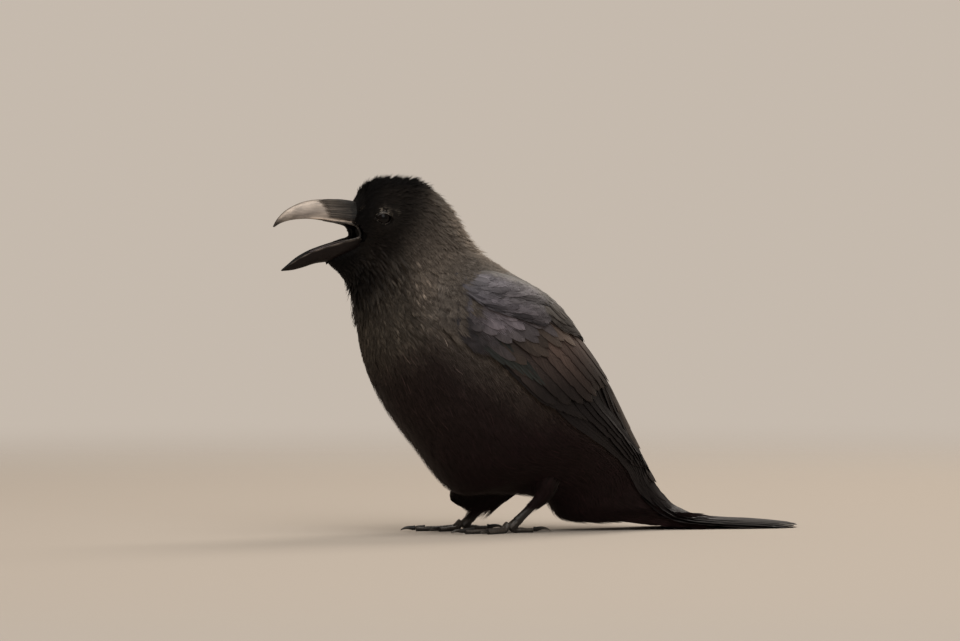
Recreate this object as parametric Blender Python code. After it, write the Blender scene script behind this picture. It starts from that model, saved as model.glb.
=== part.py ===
"""A large-billed crow, life size, standing on level ground and calling with its bill open.

The crow faces -X with +Z up, and its left side is at -Y. Sizes are in millimetres and are
turned into metres as each mesh is made. The body, from face to tail tip, is one smooth form:
a row of rings, each standing across the body between a point on the back and a point on the
belly. Head, neck, trunk and tail are lengths of that form, and the folded wings lie on it.
"""

import math

import bmesh
import bpy
import numpy as np
from mathutils import Matrix, Vector

MM = 0.001
GAP = 0.35  # between pieces that touch
BODY_SIDES = 30  # points round each ring of the body

# ---------------------------------------------------------------- the form of the body
# name: (back x, back z), (belly x, belly z), half width, squareness, height of the widest level
FORM = [
    ("face", (-99.6, 241.0), (-122.0, 198.5), 11.5, 2.2, 0.00),
    ("lores", (-94.6, 248.8), (-118.0, 195.8), 15.5, 2.1, 0.05),
    ("eye", (-85.6, 257.6), (-109.8, 188.6), 18.8, 2.0, 0.10),
    ("crown", (-67.5, 260.4), (-104.2, 181.0), 21.8, 2.0, 0.08),
    ("occiput", (-43.8, 256.6), (-100.8, 172.3), 25.2, 2.0, 0.05),
    ("nape", (-22.6, 236.4), (-96.8, 159.0), 31.0, 2.0, 0.00),
    ("neck", (-7.2, 212.0), (-94.0, 141.9), 38.5, 2.1, 0.00),
    ("shoulder", (17.0, 190.5), (-88.2, 121.6), 47.5, 2.2, 0.05),
    ("breast", (48.5, 168.5), (-74.4, 92.3), 52.0, 2.2, 0.05),
    ("belly", (73.0, 138.0), (-50.3, 60.6), 52.5, 2.2, 0.05),
    ("thigh", (93.5, 106.0), (-21.5, 29.0), 49.0, 2.2, 0.10),
    ("vent", (109.0, 77.0), (14.0, 27.5), 41.5, 2.0, 0.20),
    ("rump", (123.0, 54.5), (49.0, 21.5), 33.5, 2.1, 0.20),
    ("tail_root", (133.5, 36.0), (69.0, 5.2), 27.0, 2.4, 0.10),
    ("tail_coverts", (154.5, 14.2), (122.0, 4.5), 25.0, 2.8, 0.00),
    ("tail_middle", (188.0, 8.4), (180.0, 1.8), 27.5, 3.2, 0.00),
    ("tail_end", (222.0, 6.3), (220.0, 0.3), 31.5, 3.6, 0.00),
    ("tail_tip", (251.0, 3.4), (251.0, -0.3), 33.0, 3.6, 0.00),
]
STATION = {row[0]: place for place, row in enumerate(FORM)}
TAIL_ROUNDING = 27.0  # how far the outer tail feathers fall short of the middle ones
TAIL_FEATHERS = 12
TAIL_SCALLOP = 2.2

# Cuts between the named lengths of the body, in stations.
HEAD_END = 4.6
NECK_END = 6.55
TRUNK_END = 12.6

# ---------------------------------------------------------------- folded wings, in stations
WING_START = 6.28
WING_TIP = 15.45
TERTIAL_TIP = 13.1
COVERT_END_BACK = 10.3
COVERT_END_FLANK = 9.35
# station: angle from the middle of the back to the upper edge, to the feather seam, to the lower edge
WING_EDGES = [
    (6.0, 42, 62, 80),
    (7.0, 27, 58, 93),
    (8.0, 17, 56, 92),
    (9.0, 11, 54, 87),
    (10.0, 8, 52, 82),
    (11.0, 6, 47, 76),
    (12.0, 5, 36, 73),
    (13.0, 5, 9, 70),
    (14.0, 7, 8, 66),
    (15.0, 14, 15, 58),
    (16.0, 26, 27, 44),
]
COVERT_DEPTH = 7.6
SECONDARY_DEPTH = (5.4, 4.2)
PRIMARY_DEPTH = (5.6, 1.9)
EDGE_DEPTH = 1.6
SEAM_HALF_GAP = 0.4  # degrees round the body

# ---------------------------------------------------------------- bill
# ridge (x, z), cutting edge (x, z), half width
UPPER_BILL = [
    ((-91.0, 239.0), (-91.0, 225.0), 10.6),
    ((-103.0, 242.3), (-103.0, 225.9), 11.0),
    ((-115.0, 244.0), (-115.5, 228.3), 9.6),
    ((-126.0, 244.7), (-127.0, 230.1), 8.2),
    ((-137.2, 243.3), (-137.0, 230.6), 6.6),
    ((-146.5, 240.0), (-144.6, 230.3), 5.0),
    ((-153.8, 235.6), (-150.8, 229.4), 3.4),
    ((-159.4, 229.8), (-156.8, 227.4), 1.8),
    ((-162.2, 224.9), (-161.2, 224.5), 0.5),
]
LOWER_BILL = [
    ((-91.0, 206.5), (-93.0, 216.0), 10.4),
    ((-99.0, 203.6), (-101.0, 216.2), 11.0),
    ((-108.0, 201.2), (-111.0, 214.0), 10.2),
    ((-119.0, 199.3), (-123.4, 210.5), 8.6),
    ((-129.5, 198.0), (-133.0, 207.2), 6.9),
    ((-139.0, 195.2), (-142.0, 202.8), 5.0),
    ((-147.0, 193.3), (-149.4, 197.8), 2.9),
    ((-155.4, 192.6), (-155.8, 193.3), 0.5),
]
# Half of a bill's section: (share of the half width, share of the way from ridge to cutting edge).
BILL_SECTION = [
    (0.0, 0.0), (0.30, 0.04), (0.58, 0.17), (0.80, 0.40), (0.94, 0.70),
    (1.0, 1.0), (0.80, 0.93), (0.42, 0.78), (0.0, 0.72),
]
TONGUE = [
    ((-97.6, 215.2), 3.4, 1.4),
    ((-111.0, 212.7), 3.6, 1.4),
    ((-123.0, 209.7), 2.7, 1.1),
    ((-134.0, 206.2), 1.2, 0.5),
]
# Bristles that lie forward over the base of the upper bill, given like a bill.
BRISTLES = [
    ((-95.0, 243.5), (-95.0, 231.5), 12.2),
    ((-104.0, 244.6), (-105.0, 231.6), 12.0),
    ((-113.0, 246.0), (-114.5, 233.0), 10.6),
    ((-120.0, 245.9), (-121.0, 236.0), 8.4),
    ((-125.5, 245.0), (-125.5, 240.5), 5.0),
]
# The gap between the open jaws, seen from the side, closed at the gape.
GAPE_OUTLINE = [
    (-98.4, 219.8), (-99.6, 223.2), (-103.0, 225.6), (-116.0, 228.0), (-140.0, 230.6),
    (-140.0, 203.6), (-123.6, 210.3), (-109.0, 214.2), (-101.0, 216.3), (-98.9, 217.6),
]
# The hollow of the palate and of the mouth's floor, seen from the side.
MOUTH_OUTLINE = [
    (-97.0, 231.5), (-97.0, 210.0), (-110.0, 205.5), (-128.0, 203.0), (-128.0, 236.0), (-110.0, 235.0),
]
MOUTH_WIDTH = 15.0
THROAT_CENTRE = (-97.0, 0.0, 220.0)
THROAT_SIZE = (14.0, 9.6, 4.6)

# ---------------------------------------------------------------- eyes
EYE_RADIUS = 6.2
EYE_CENTRE = (-83.4, 16.0, 230.9)

# ---------------------------------------------------------------- legs
# One row for each side: side of Y, x of the foot, turn of the foot outwards in degrees.
LEGS = {"left": (-1, 13.5, 6.0), "right": (1, -4.5, 4.0)}
LEG_SPREAD = 24.0  # from the middle to each foot
TARSUS_LEAN = (0.742, 0.670)  # backwards and upwards, from the foot to the heel
TARSUS_START = 8.5
TARSUS_LENGTH = 24.0
TARSUS_WAIST = (2.5, 3.1)  # radii at its middle, sideways and upright
TARSUS_FLARE = 0.5  # more than that at its ends
ANKLE_LEVEL = 3.0
ANKLE_RADII = [(3.4, 3.3), (3.6, 3.7), (2.9, 3.4)]
THIGH_LEAN = (0.30, 0.0, 0.954)
THIGH_LENGTH = 36.0
HEM_LENGTH = 3.0  # of the thigh's feathers below its bend
# Share of the way up the thigh, and radii there.
THIGH_TAPER = [
    (0.0, (5.8, 7.0)), (0.22, (8.0, 10.2)), (0.55, (10.2, 13.5)), (1.0, (12.0, 17.0)),
]
HEM_RADII = (4.8, 5.6)
# name: angle from straight ahead towards the middle, length to the claw, thickness, claw length
TOES = {
    "inner": (30.0, 25.0, 2.45, 12.0),
    "middle": (1.0, 36.0, 2.65, 13.0),
    "outer": (-27.0, 27.0, 2.35, 11.0),
    "hind": (183.0, 19.0, 2.65, 16.0),
}

CLAW_ROOT = 0.62  # a claw's thickness at its root in that of the toe's end
TOE_SINK = 0.78  # height of a toe's middle in its radii; what lies under the ground is cut level
CLAW_CLEARANCE = 0.6  # of a claw's point over the ground, measured along its middle

# ---------------------------------------------------------------- colours
FEATHER = (0.012, 0.011, 0.012)
GLOSSY_FEATHER = (0.014, 0.013, 0.020)
HORN = (0.022, 0.021, 0.022)
CLAW = (0.030, 0.028, 0.027)
LEG_SKIN = (0.016, 0.015, 0.015)
TONGUE_SKIN = (0.060, 0.035, 0.038)
EYE = (0.018, 0.009, 0.005)


def clear_scene():
    for old in list(bpy.data.objects):
        bpy.data.objects.remove(old)


def material(name, colour, roughness):
    made = bpy.data.materials.get(name) or bpy.data.materials.new(name)
    made.use_nodes = True
    shader = made.node_tree.nodes["Principled BSDF"]
    shader.inputs["Base Color"].default_value = (*colour, 1.0)
    shader.inputs["Roughness"].default_value = roughness
    shader.inputs["Metallic"].default_value = 0.0
    return made


def new_object(name, mesh_data, finish):
    """An object whose mesh comes from a bmesh in millimetres."""
    bmesh.ops.remove_doubles(mesh_data, verts=mesh_data.verts, dist=0.001)
    bmesh.ops.recalc_face_normals(mesh_data, faces=mesh_data.faces)
    bmesh.ops.scale(mesh_data, vec=(MM, MM, MM), verts=mesh_data.verts)
    mesh = bpy.data.meshes.new(name)
    mesh_data.to_mesh(mesh)
    mesh_data.free()
    mesh.shade_smooth()
    mesh.set_sharp_from_angle(angle=math.radians(50))
    mesh.materials.append(finish)
    made = bpy.data.objects.new(name, mesh)
    bpy.context.scene.collection.objects.link(made)
    return made


def spline(rows, place):
    """The row at a place along a smooth curve through rows, which are a unit apart."""
    rows = np.asarray(rows, float)
    place = min(max(place, 0.0), len(rows) - 1.0)
    i = min(int(place), len(rows) - 2)
    t = place - i
    before, here = rows[max(i - 1, 0)], rows[i]
    there, after = rows[i + 1], rows[min(i + 2, len(rows) - 1)]
    slope_here, slope_there = (there - before) / 2, (after - here) / 2
    return (
        (2 * t**3 - 3 * t**2 + 1) * here
        + (t**3 - 2 * t**2 + t) * slope_here
        + (3 * t**2 - 2 * t**3) * there
        + (t**3 - t**2) * slope_there
    )


def between(table, place):
    """The values beside place in a table of (place, value, ...) rows."""
    places = [row[0] for row in table]
    return [np.interp(place, places, [row[k] for row in table]) for k in range(1, len(table[0]))]


def loft(rings):
    """A closed bmesh through rings of points. Each end is filled with one flat face."""
    made = bmesh.new()
    rows = [[made.verts.new(point) for point in ring] for ring in rings]
    for first, second in zip(rows, rows[1:]):
        for i in range(len(first)):
            j = (i + 1) % len(first)
            made.faces.new((first[i], first[j], second[j], second[i]))
    made.faces.new(rows[0])
    made.faces.new(rows[-1][::-1])
    return made


# ---------------------------------------------------------------- body

FORM_ROWS = [(*back, *belly, width, power, level) for _, back, belly, width, power, level in FORM]


def tail_shortening(station, across):
    """How far the tail's outline is pulled forward at a share across of its half width."""
    if station <= STATION["tail_root"]:
        return 0.0
    share = (station - STATION["tail_root"]) / (len(FORM) - 1 - STATION["tail_root"])
    feather = abs(math.sin(across * TAIL_FEATHERS / 2 * math.pi))
    return share**2 * (TAIL_ROUNDING * across**2) + share**10 * TAIL_SCALLOP * (1 - feather)


def on_body(station, angle):
    """A point of the body's surface. Angle runs from the back, 0, by the left side to the belly, 180."""
    back_x, back_z, belly_x, belly_z, width, power, level = spline(FORM_ROWS, station)
    c, s = math.cos(math.radians(angle)), math.sin(math.radians(angle))
    along = math.copysign(abs(c) ** (2 / power), c) + level * s * s
    across = math.copysign(abs(s) ** (2 / power), s)
    x = (back_x + belly_x) / 2 + along * (back_x - belly_x) / 2
    z = (back_z + belly_z) / 2 + along * (back_z - belly_z) / 2
    return Vector((x - tail_shortening(station, across), -width * across, max(z, 0.0)))


def off_body(station, angle, lift):
    """A point at a height over the body's surface, along its normal."""
    step = 0.05
    along = on_body(station + step, angle) - on_body(station - step, angle)
    round_ = on_body(station, angle + 2) - on_body(station, angle - 2)
    return on_body(station, angle) + lift * round_.cross(along).normalized()


def body_length(name, start, end, rings, finish):
    stations = np.linspace(start, end, rings)
    angles = [360 * k / BODY_SIDES for k in range(BODY_SIDES)]
    shape = loft([[on_body(s, a) for a in angles] for s in stations])
    return new_object(name, shape, finish)


def gap_in_stations(station):
    """GAP as a share of the distance to the next station."""
    return GAP / (on_body(station + 0.5, 90) - on_body(station - 0.5, 90)).length


def build_body(feather):
    tail_first = TRUNK_END + gap_in_stations(TRUNK_END)
    lengths = {
        "head": (0.0, HEAD_END, 11),
        "neck": (HEAD_END + gap_in_stations(HEAD_END), NECK_END, 5),
        "trunk": (NECK_END + gap_in_stations(NECK_END), TRUNK_END, 14),
        "tail": (tail_first, len(FORM) - 1.0, 10),
    }
    return {
        name: body_length(name, start, end, rings, feather)
        for name, (start, end, rings) in lengths.items()
    }


# ---------------------------------------------------------------- wings


def slab(name, start, end, upper, lower, depth, grid, finish, side):
    """A piece of folded wing on the body. Start, end, upper and lower are functions that give
    its edges, in stations and degrees, and depth gives its thickness."""
    rows, columns = grid
    inner, outer = [], []
    for i in range(rows + 1):
        inner.append([])
        outer.append([])
        for j in range(columns + 1):
            u, v = i / rows, j / columns
            station = start(v) + (end(v) - start(v)) * u
            angle = upper(station) + (lower(station) - upper(station)) * v
            inner[-1].append(off_body(station, angle, 2 * GAP))
            outer[-1].append(off_body(station, angle, 2 * GAP + depth(u, v)))
    made = bmesh.new()
    sheets = [[[made.verts.new(p) for p in row] for row in sheet] for sheet in (inner, outer)]
    for sheet in sheets:
        for i in range(rows):
            for j in range(columns):
                corners = (sheet[i][j], sheet[i][j + 1], sheet[i + 1][j + 1], sheet[i + 1][j])
                made.faces.new(corners)
    edge = [(0, j) for j in range(columns)] + [(i, columns) for i in range(rows)]
    edge += [(rows, j) for j in range(columns, 0, -1)] + [(i, 0) for i in range(rows, 0, -1)]
    for (i, j), (k, m) in zip(edge, edge[1:] + edge[:1]):
        made.faces.new((sheets[0][i][j], sheets[0][k][m], sheets[1][k][m], sheets[1][i][j]))
    if side > 0:
        bmesh.ops.scale(made, vec=(1, -1, 1), verts=made.verts)
    return new_object(name, made, finish)


def covert_depth(u, v):
    """Rounded at the bend of the wing and thin along its two edges."""
    front = min(1.0, u / 0.22) ** 0.5
    return EDGE_DEPTH + (COVERT_DEPTH - EDGE_DEPTH) * front * math.sin(math.pi * v) ** 0.55


def tapering_depth(depths, upper_edge):
    """Depth that falls from the first value to the second, over a thin lower edge."""

    def depth(u, v):
        middle = depths[0] + (depths[1] - depths[0]) * u
        across = upper_edge + (1 - upper_edge) * math.sin(math.pi * min(v + 0.25, 1.0) ** 1.2)
        return max(EDGE_DEPTH * 0.8, middle * across)

    return depth


def build_wing(side_name, side, finish):
    def upper(station):
        return between(WING_EDGES, station)[0]

    def seam(station):
        return between(WING_EDGES, station)[1]

    def lower(station):
        return between(WING_EDGES, station)[2]

    def wing_front(v):
        return WING_START + 0.55 * (2 * v - 1.05) ** 2

    def covert_end(v):
        return COVERT_END_BACK + (COVERT_END_FLANK - COVERT_END_BACK) * v

    top, middle, bottom = between(WING_EDGES, COVERT_END_FLANK)
    seam_share = (middle - top) / (bottom - top)
    step = gap_in_stations(10)
    slab(
        f"{side_name}_wing", wing_front, covert_end, upper, lower,
        covert_depth, (10, 7), finish, side,
    )
    slab(
        f"{side_name}_secondaries",
        lambda v: covert_end(v * seam_share) + step,
        lambda v: TERTIAL_TIP - 0.5 * v,
        upper,
        lambda station: seam(station) - SEAM_HALF_GAP,
        tapering_depth(SECONDARY_DEPTH, 0.45),
        (8, 5), finish, side,
    )
    slab(
        f"{side_name}_primaries",
        lambda v: covert_end(seam_share + (1 - seam_share) * v) + step,
        lambda v: WING_TIP - 0.35 * abs(2 * v - 1) ** 2,
        lambda station: seam(station) + SEAM_HALF_GAP if station < TERTIAL_TIP else upper(station),
        lower,
        tapering_depth(PRIMARY_DEPTH, 0.6),
        (13, 5), finish, side,
    )


# ---------------------------------------------------------------- bill, tongue and mouth


def bill_ring(row):
    """A ring of a bill. Its section's first point is on the ridge, and its last in the trough."""
    ridge_x, ridge_z, edge_x, edge_z, width = row
    half = [
        (ridge_x + t * (edge_x - ridge_x), -y * width, ridge_z + t * (edge_z - ridge_z))
        for y, t in BILL_SECTION
    ]
    return half + [(x, -y, z) for x, y, z in half[-2:0:-1]]


def bill_mesh(stations, rings):
    rows = [(*ridge, *edge, width) for ridge, edge, width in stations]
    places = np.linspace(0, len(rows) - 1, rings)
    return loft([bill_ring(spline(rows, place)) for place in places])


def tongue_mesh():
    rings = []
    rows = [(*centre, width, height) for centre, width, height in TONGUE]
    for place in np.linspace(0, len(rows) - 1, 8):
        x, z, width, height = spline(rows, place)
        turns = [2 * math.pi * k / 10 for k in range(10)]
        rings.append([(x, width * math.sin(a), z + height * math.cos(a)) for a in turns])
    return loft(rings)


def swollen(obj, amount, name):
    """A copy of obj, grown by amount in millimetres, that only serves as a cutter."""
    cutter = obj.copy()
    cutter.data = obj.data.copy()
    cutter.name = name
    bpy.context.scene.collection.objects.link(cutter)
    grown = bmesh.new()
    grown.from_mesh(cutter.data)
    for vertex in grown.verts:
        vertex.co += vertex.normal * amount * MM
    grown.to_mesh(cutter.data)
    grown.free()
    return hide(cutter)


def hide(obj):
    obj.hide_render = True
    obj.display_type = "WIRE"
    return obj


def cut(obj, cutter):
    tool = obj.modifiers.new(f"cut_{cutter.name}", "BOOLEAN")
    tool.operation = "DIFFERENCE"
    tool.solver = "EXACT"
    tool.object = cutter


def join(obj, other):
    tool = obj.modifiers.new(f"join_{other.name}", "BOOLEAN")
    tool.operation = "UNION"
    tool.solver = "EXACT"
    tool.object = other


def side_cutter(name, outline, width, finish):
    """A cutter with one outline, seen from the side, and a width across the bird."""
    rings = [[(x, y, z) for x, z in outline] for y in (-width / 2, width / 2)]
    return hide(new_object(name, loft(rings), finish))


def ball(name, centre, radii, finish, segments=20, rings=12):
    made = bmesh.new()
    bmesh.ops.create_uvsphere(made, u_segments=segments, v_segments=rings, radius=1.0)
    bmesh.ops.scale(made, vec=radii, verts=made.verts)
    bmesh.ops.translate(made, vec=centre, verts=made.verts)
    return new_object(name, made, finish)


def build_bill(head, horn, tongue_skin):
    upper = new_object("upper_bill", bill_mesh(UPPER_BILL, 14), horn)
    lower = new_object("lower_bill", bill_mesh(LOWER_BILL, 12), horn)
    new_object("tongue", tongue_mesh(), tongue_skin)
    join(head, hide(new_object("bristles", bill_mesh(BRISTLES, 7), horn)))
    for cutter in (
        swollen(upper, GAP, "upper_bill_cutter"),
        swollen(lower, GAP, "lower_bill_cutter"),
        side_cutter("gape_cutter", GAPE_OUTLINE, 80.0, horn),
        side_cutter("mouth_cutter", MOUTH_OUTLINE, MOUTH_WIDTH, horn),
        hide(ball("throat_cutter", THROAT_CENTRE, THROAT_SIZE, tongue_skin)),
    ):
        cut(head, cutter)


def build_eyes(head, finish):
    x, y, z = EYE_CENTRE
    for side_name, side in (("left", -1), ("right", 1)):
        centre = (x, side * y, z)
        ball(f"{side_name}_eye", centre, (EYE_RADIUS,) * 3, finish, 12, 8)
        socket = ball(f"{side_name}_socket", centre, (EYE_RADIUS + GAP,) * 3, finish, 12, 8)
        cut(head, hide(socket))


# ---------------------------------------------------------------- legs


def tube(points, radii, sides=8):
    """A closed tube. Radii are (sideways, upright) at each point."""
    rings = []
    for i, point in enumerate(points):
        ahead = Vector(points[min(i + 1, len(points) - 1)]) - Vector(points[max(i - 1, 0)])
        sideways = Vector((0, 0, 1)).cross(ahead).normalized()
        upright = ahead.cross(sideways).normalized()
        wide, high = radii[i]
        turns = [2 * math.pi * k / sides for k in range(sides)]
        rings.append(
            [Vector(point) + sideways * wide * math.cos(a) + upright * high * math.sin(a) for a in turns]
        )
    return loft(rings)


def toe_points(length, thickness):
    """Centre line and radii of a toe along -X, with a pad under each joint, and its bottom cut level."""
    points, radii = [], []
    steps = 8
    for k in range(steps):
        t = k / (steps - 1)
        pad = 0.5 + 0.5 * math.cos(2 * math.pi * t * (3 if length > 30 else 2))
        radius = thickness * (1 - 0.28 * t) * (0.84 + 0.16 * pad)
        height = 4.6 * (1 - min(1.0, t / 0.22)) ** 1.6 + radius * TOE_SINK
        points.append((-1.0 - t * (length - 1.0), 0.0, height))
        radii.append((radius * 0.92, radius))
    return points, radii


def claw_points(start, thickness, length):
    """A claw that springs up from the toe's end and curves down to just above the ground."""
    points, radii = [], []
    steps = 8
    turn_start, turn_end = math.radians(6), math.radians(-58)
    x, z = start
    for k in range(steps):
        t = k / (steps - 1)
        points.append((x, 0.0, z))
        size = thickness * CLAW_ROOT * (1 - t) ** 0.75 + 0.16
        radii.append((size * 0.72, size))
        turn = turn_start + (turn_end - turn_start) * t
        x -= length / (steps - 1) * math.cos(turn)
        z += length / (steps - 1) * math.sin(turn)
    lowest = min(point[2] - radius[1] for point, radius in zip(points, radii))
    lift = max(0.0, CLAW_CLEARANCE - lowest)
    line = []
    for k, ((x, y, z), (_, radius)) in enumerate(zip(points, radii)):
        line.append((x, y, max(z + lift * k / (steps - 1), radius + CLAW_CLEARANCE)))
    return line, radii


def placed(shape, x, y, turn):
    """Turns a bmesh about Z, counter-clockwise in degrees from above, and moves it to x and y."""
    matrix = Matrix.Translation((x, y, 0)) @ Matrix.Rotation(math.radians(turn), 4, "Z")
    bmesh.ops.transform(shape, matrix=matrix, verts=shape.verts)
    return shape


def level_bottom(shape):
    """Cuts away what lies under the ground and closes the cut."""
    geometry = shape.verts[:] + shape.edges[:] + shape.faces[:]
    cut_edges = bmesh.ops.bisect_plane(
        shape, geom=geometry, plane_co=(0, 0, 0), plane_no=(0, 0, -1), clear_outer=True
    )["geom_cut"]
    bmesh.ops.holes_fill(shape, edges=[e for e in cut_edges if isinstance(e, bmesh.types.BMEdge)])
    return shape


def foot_to_heel(side, foot_x, distance):
    """A point on the line from the foot up to the heel."""
    lean_x, lean_z = TARSUS_LEAN
    return Vector((foot_x + lean_x * distance, side * LEG_SPREAD, ANKLE_LEVEL + lean_z * distance))


def build_leg(side_name, side, foot_x, turn_out, trunk, skins):
    leg_skin, claw_horn, feather = skins
    foot = None
    for toe, (angle, length, thickness, claw_length) in TOES.items():
        turn = side * (angle - turn_out)
        points, radii = toe_points(length, thickness)
        shape = level_bottom(placed(tube(points, radii), foot_x, side * LEG_SPREAD, turn))
        part = new_object(f"{side_name}_{toe}_toe", shape, leg_skin)
        claw_start = (points[-1][0] - 2 * GAP, points[-1][2])
        claw_line, claw_radii = claw_points(claw_start, radii[-1][1] / CLAW_ROOT, claw_length)
        claw = placed(tube(claw_line, claw_radii, 6), foot_x, side * LEG_SPREAD, turn)
        new_object(f"{side_name}_{toe}_claw", claw, claw_horn)
        if foot is None:
            foot = part
            foot.name = f"{side_name}_foot"
        else:
            join(foot, hide(part))
    ankle = [foot_to_heel(side, foot_x, d) for d in (0.0, 3.0, TARSUS_START - GAP)]
    knob = new_object(f"{side_name}_knob", tube(ankle, ANKLE_RADII), leg_skin)
    join(foot, hide(knob))

    ends = (TARSUS_START, TARSUS_START + TARSUS_LENGTH)
    places = np.linspace(*ends, 7)
    line = [foot_to_heel(side, foot_x, d) for d in places]
    flares = [TARSUS_FLARE * abs(2 * t - 1) ** 3 for t in np.linspace(0, 1, 7)]
    thick = [(TARSUS_WAIST[0] + flare, TARSUS_WAIST[1] + flare) for flare in flares]
    new_object(f"{side_name}_tarsus", tube(line, thick, 12), leg_skin)

    hem = foot_to_heel(side, foot_x, ends[1] + GAP)
    bend = foot_to_heel(side, foot_x, ends[1] + HEM_LENGTH)
    top = bend + Vector(THIGH_LEAN) * THIGH_LENGTH
    line = [hem] + [bend.lerp(top, share) for share, _ in THIGH_TAPER]
    thick = [HEM_RADII] + [radii for _, radii in THIGH_TAPER]
    thigh = new_object(f"{side_name}_thigh", tube(line, thick, 16), feather)
    cut(trunk, swollen(thigh, GAP, f"{side_name}_thigh_cutter"))


# ---------------------------------------------------------------- whole bird


def centre_on_ground():
    """Moves every piece so that the middle of the bird's outline is over the origin."""
    bpy.context.view_layer.update()
    shown = [o for o in bpy.data.objects if not o.hide_render]
    xs = [vertex.co.x for o in shown for vertex in o.data.vertices]
    shift = Matrix.Translation((-(min(xs) + max(xs)) / 2, 0, 0))
    for obj in bpy.data.objects:
        obj.data.transform(shift)


def main():
    clear_scene()
    feather = material("feather", FEATHER, 0.75)
    glossy = material("wing_feather", GLOSSY_FEATHER, 0.5)
    horn = material("horn", HORN, 0.35)
    claw_horn = material("claw", CLAW, 0.3)
    leg_skin = material("leg_skin", LEG_SKIN, 0.55)
    tongue_skin = material("tongue_skin", TONGUE_SKIN, 0.4)
    eye = material("eye", EYE, 0.05)
    body = build_body(feather)
    for side_name, (side, foot_x, turn_out) in LEGS.items():
        build_wing(side_name, side, glossy)
        skins = (leg_skin, claw_horn, feather)
        build_leg(side_name, side, foot_x, turn_out, body["trunk"], skins)
    build_bill(body["head"], horn, tongue_skin)
    build_eyes(body["head"], eye)
    centre_on_ground()


main()
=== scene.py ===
"""The looks of a large-billed crow: skin, feathers, bill, eyes and legs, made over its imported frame.

The crow faces -X, its left side is at -Y and +Z is up. Places on the body are given by a station
along it, from 0 at the face to 17 at the tail's tip, and an angle round it from the middle of the
back, which is 0, to the middle of the belly, which is 180. Left is positive. Lengths are in
millimetres and are turned into metres as each mesh is made.
"""

import math

import bmesh
import bpy
import numpy as np
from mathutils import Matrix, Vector
from mathutils.bvhtree import BVHTree
from mathutils.kdtree import KDTree


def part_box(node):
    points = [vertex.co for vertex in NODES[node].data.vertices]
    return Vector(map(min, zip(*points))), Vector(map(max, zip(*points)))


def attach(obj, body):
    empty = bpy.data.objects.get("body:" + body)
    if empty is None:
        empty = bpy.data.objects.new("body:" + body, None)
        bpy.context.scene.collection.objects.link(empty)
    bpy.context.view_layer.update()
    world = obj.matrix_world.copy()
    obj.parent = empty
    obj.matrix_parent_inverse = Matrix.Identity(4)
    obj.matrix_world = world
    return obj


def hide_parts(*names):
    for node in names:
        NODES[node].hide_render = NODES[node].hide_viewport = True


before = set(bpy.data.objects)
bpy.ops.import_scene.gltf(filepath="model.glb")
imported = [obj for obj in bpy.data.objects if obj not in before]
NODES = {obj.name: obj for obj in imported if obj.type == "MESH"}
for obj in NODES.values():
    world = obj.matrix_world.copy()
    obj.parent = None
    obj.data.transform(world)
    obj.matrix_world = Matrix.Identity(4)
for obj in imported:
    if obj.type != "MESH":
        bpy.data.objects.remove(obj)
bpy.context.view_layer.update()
MM = 0.001
RNG = np.random.default_rng(20)
SIDES = (("left", -1), ("right", 1))

# ---------------------------------------------------------------- the form of the body
# As in the solids: back (x, z), belly (x, z), half width, squareness, height of the widest level.
FORM = {
    "face": ((-99.6, 241.0), (-122.0, 198.5), 11.5, 2.2, 0.00),
    "lores": ((-94.6, 248.8), (-118.0, 195.8), 15.5, 2.1, 0.05),
    "eye": ((-85.6, 257.6), (-109.8, 188.6), 18.8, 2.0, 0.10),
    "crown": ((-67.5, 260.4), (-104.2, 181.0), 21.8, 2.0, 0.08),
    "occiput": ((-43.8, 256.6), (-100.8, 172.3), 25.2, 2.0, 0.05),
    "nape": ((-22.6, 236.4), (-96.8, 159.0), 31.0, 2.0, 0.00),
    "neck": ((-7.2, 212.0), (-94.0, 141.9), 38.5, 2.1, 0.00),
    "shoulder": ((17.0, 190.5), (-88.2, 121.6), 47.5, 2.2, 0.05),
    "breast": ((48.5, 168.5), (-74.4, 92.3), 52.0, 2.2, 0.05),
    "belly": ((73.0, 138.0), (-50.3, 60.6), 52.5, 2.2, 0.05),
    "thigh": ((93.5, 106.0), (-21.5, 29.0), 49.0, 2.2, 0.10),
    "vent": ((109.0, 77.0), (14.0, 27.5), 41.5, 2.0, 0.20),
    "rump": ((123.0, 54.5), (49.0, 21.5), 33.5, 2.1, 0.20),
    "tail_root": ((133.5, 36.0), (69.0, 5.2), 27.0, 2.4, 0.10),
    "tail_coverts": ((154.5, 14.2), (122.0, 4.5), 25.0, 2.8, 0.00),
    "tail_middle": ((188.0, 8.4), (180.0, 1.8), 27.5, 3.2, 0.00),
    "tail_end": ((222.0, 6.3), (220.0, 0.3), 31.5, 3.6, 0.00),
    "tail_tip": ((251.0, 3.4), (251.0, -0.3), 33.0, 3.6, 0.00),
}
BILL_TIP_X = -162.2  # in the numbers above; the frame says where it really is
SHIFT_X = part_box("upper_bill")[0].x / MM - BILL_TIP_X
ROWS = np.array(
    [(b[0] + SHIFT_X, b[1], v[0] + SHIFT_X, v[1], *rest) for b, v, *rest in FORM.values()]
)

# ---------------------------------------------------------------- wings, as in the solids
# (station, angle of the upper edge, angle of the lower edge)
WING_EDGES = np.array([
    (6.0, 42, 80), (7.0, 27, 93), (8.0, 17, 92), (9.0, 11, 87), (10.0, 8, 82), (11.0, 6, 76),
    (12.0, 5, 73), (13.0, 5, 70), (14.0, 7, 66), (15.0, 14, 58), (16.0, 26, 44),
])
WING_START, WING_TIP = 6.28, 15.45  # stations
WING_COAT_DEPTH = 3.4  # how far the skin lies under the wing's outside
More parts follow.
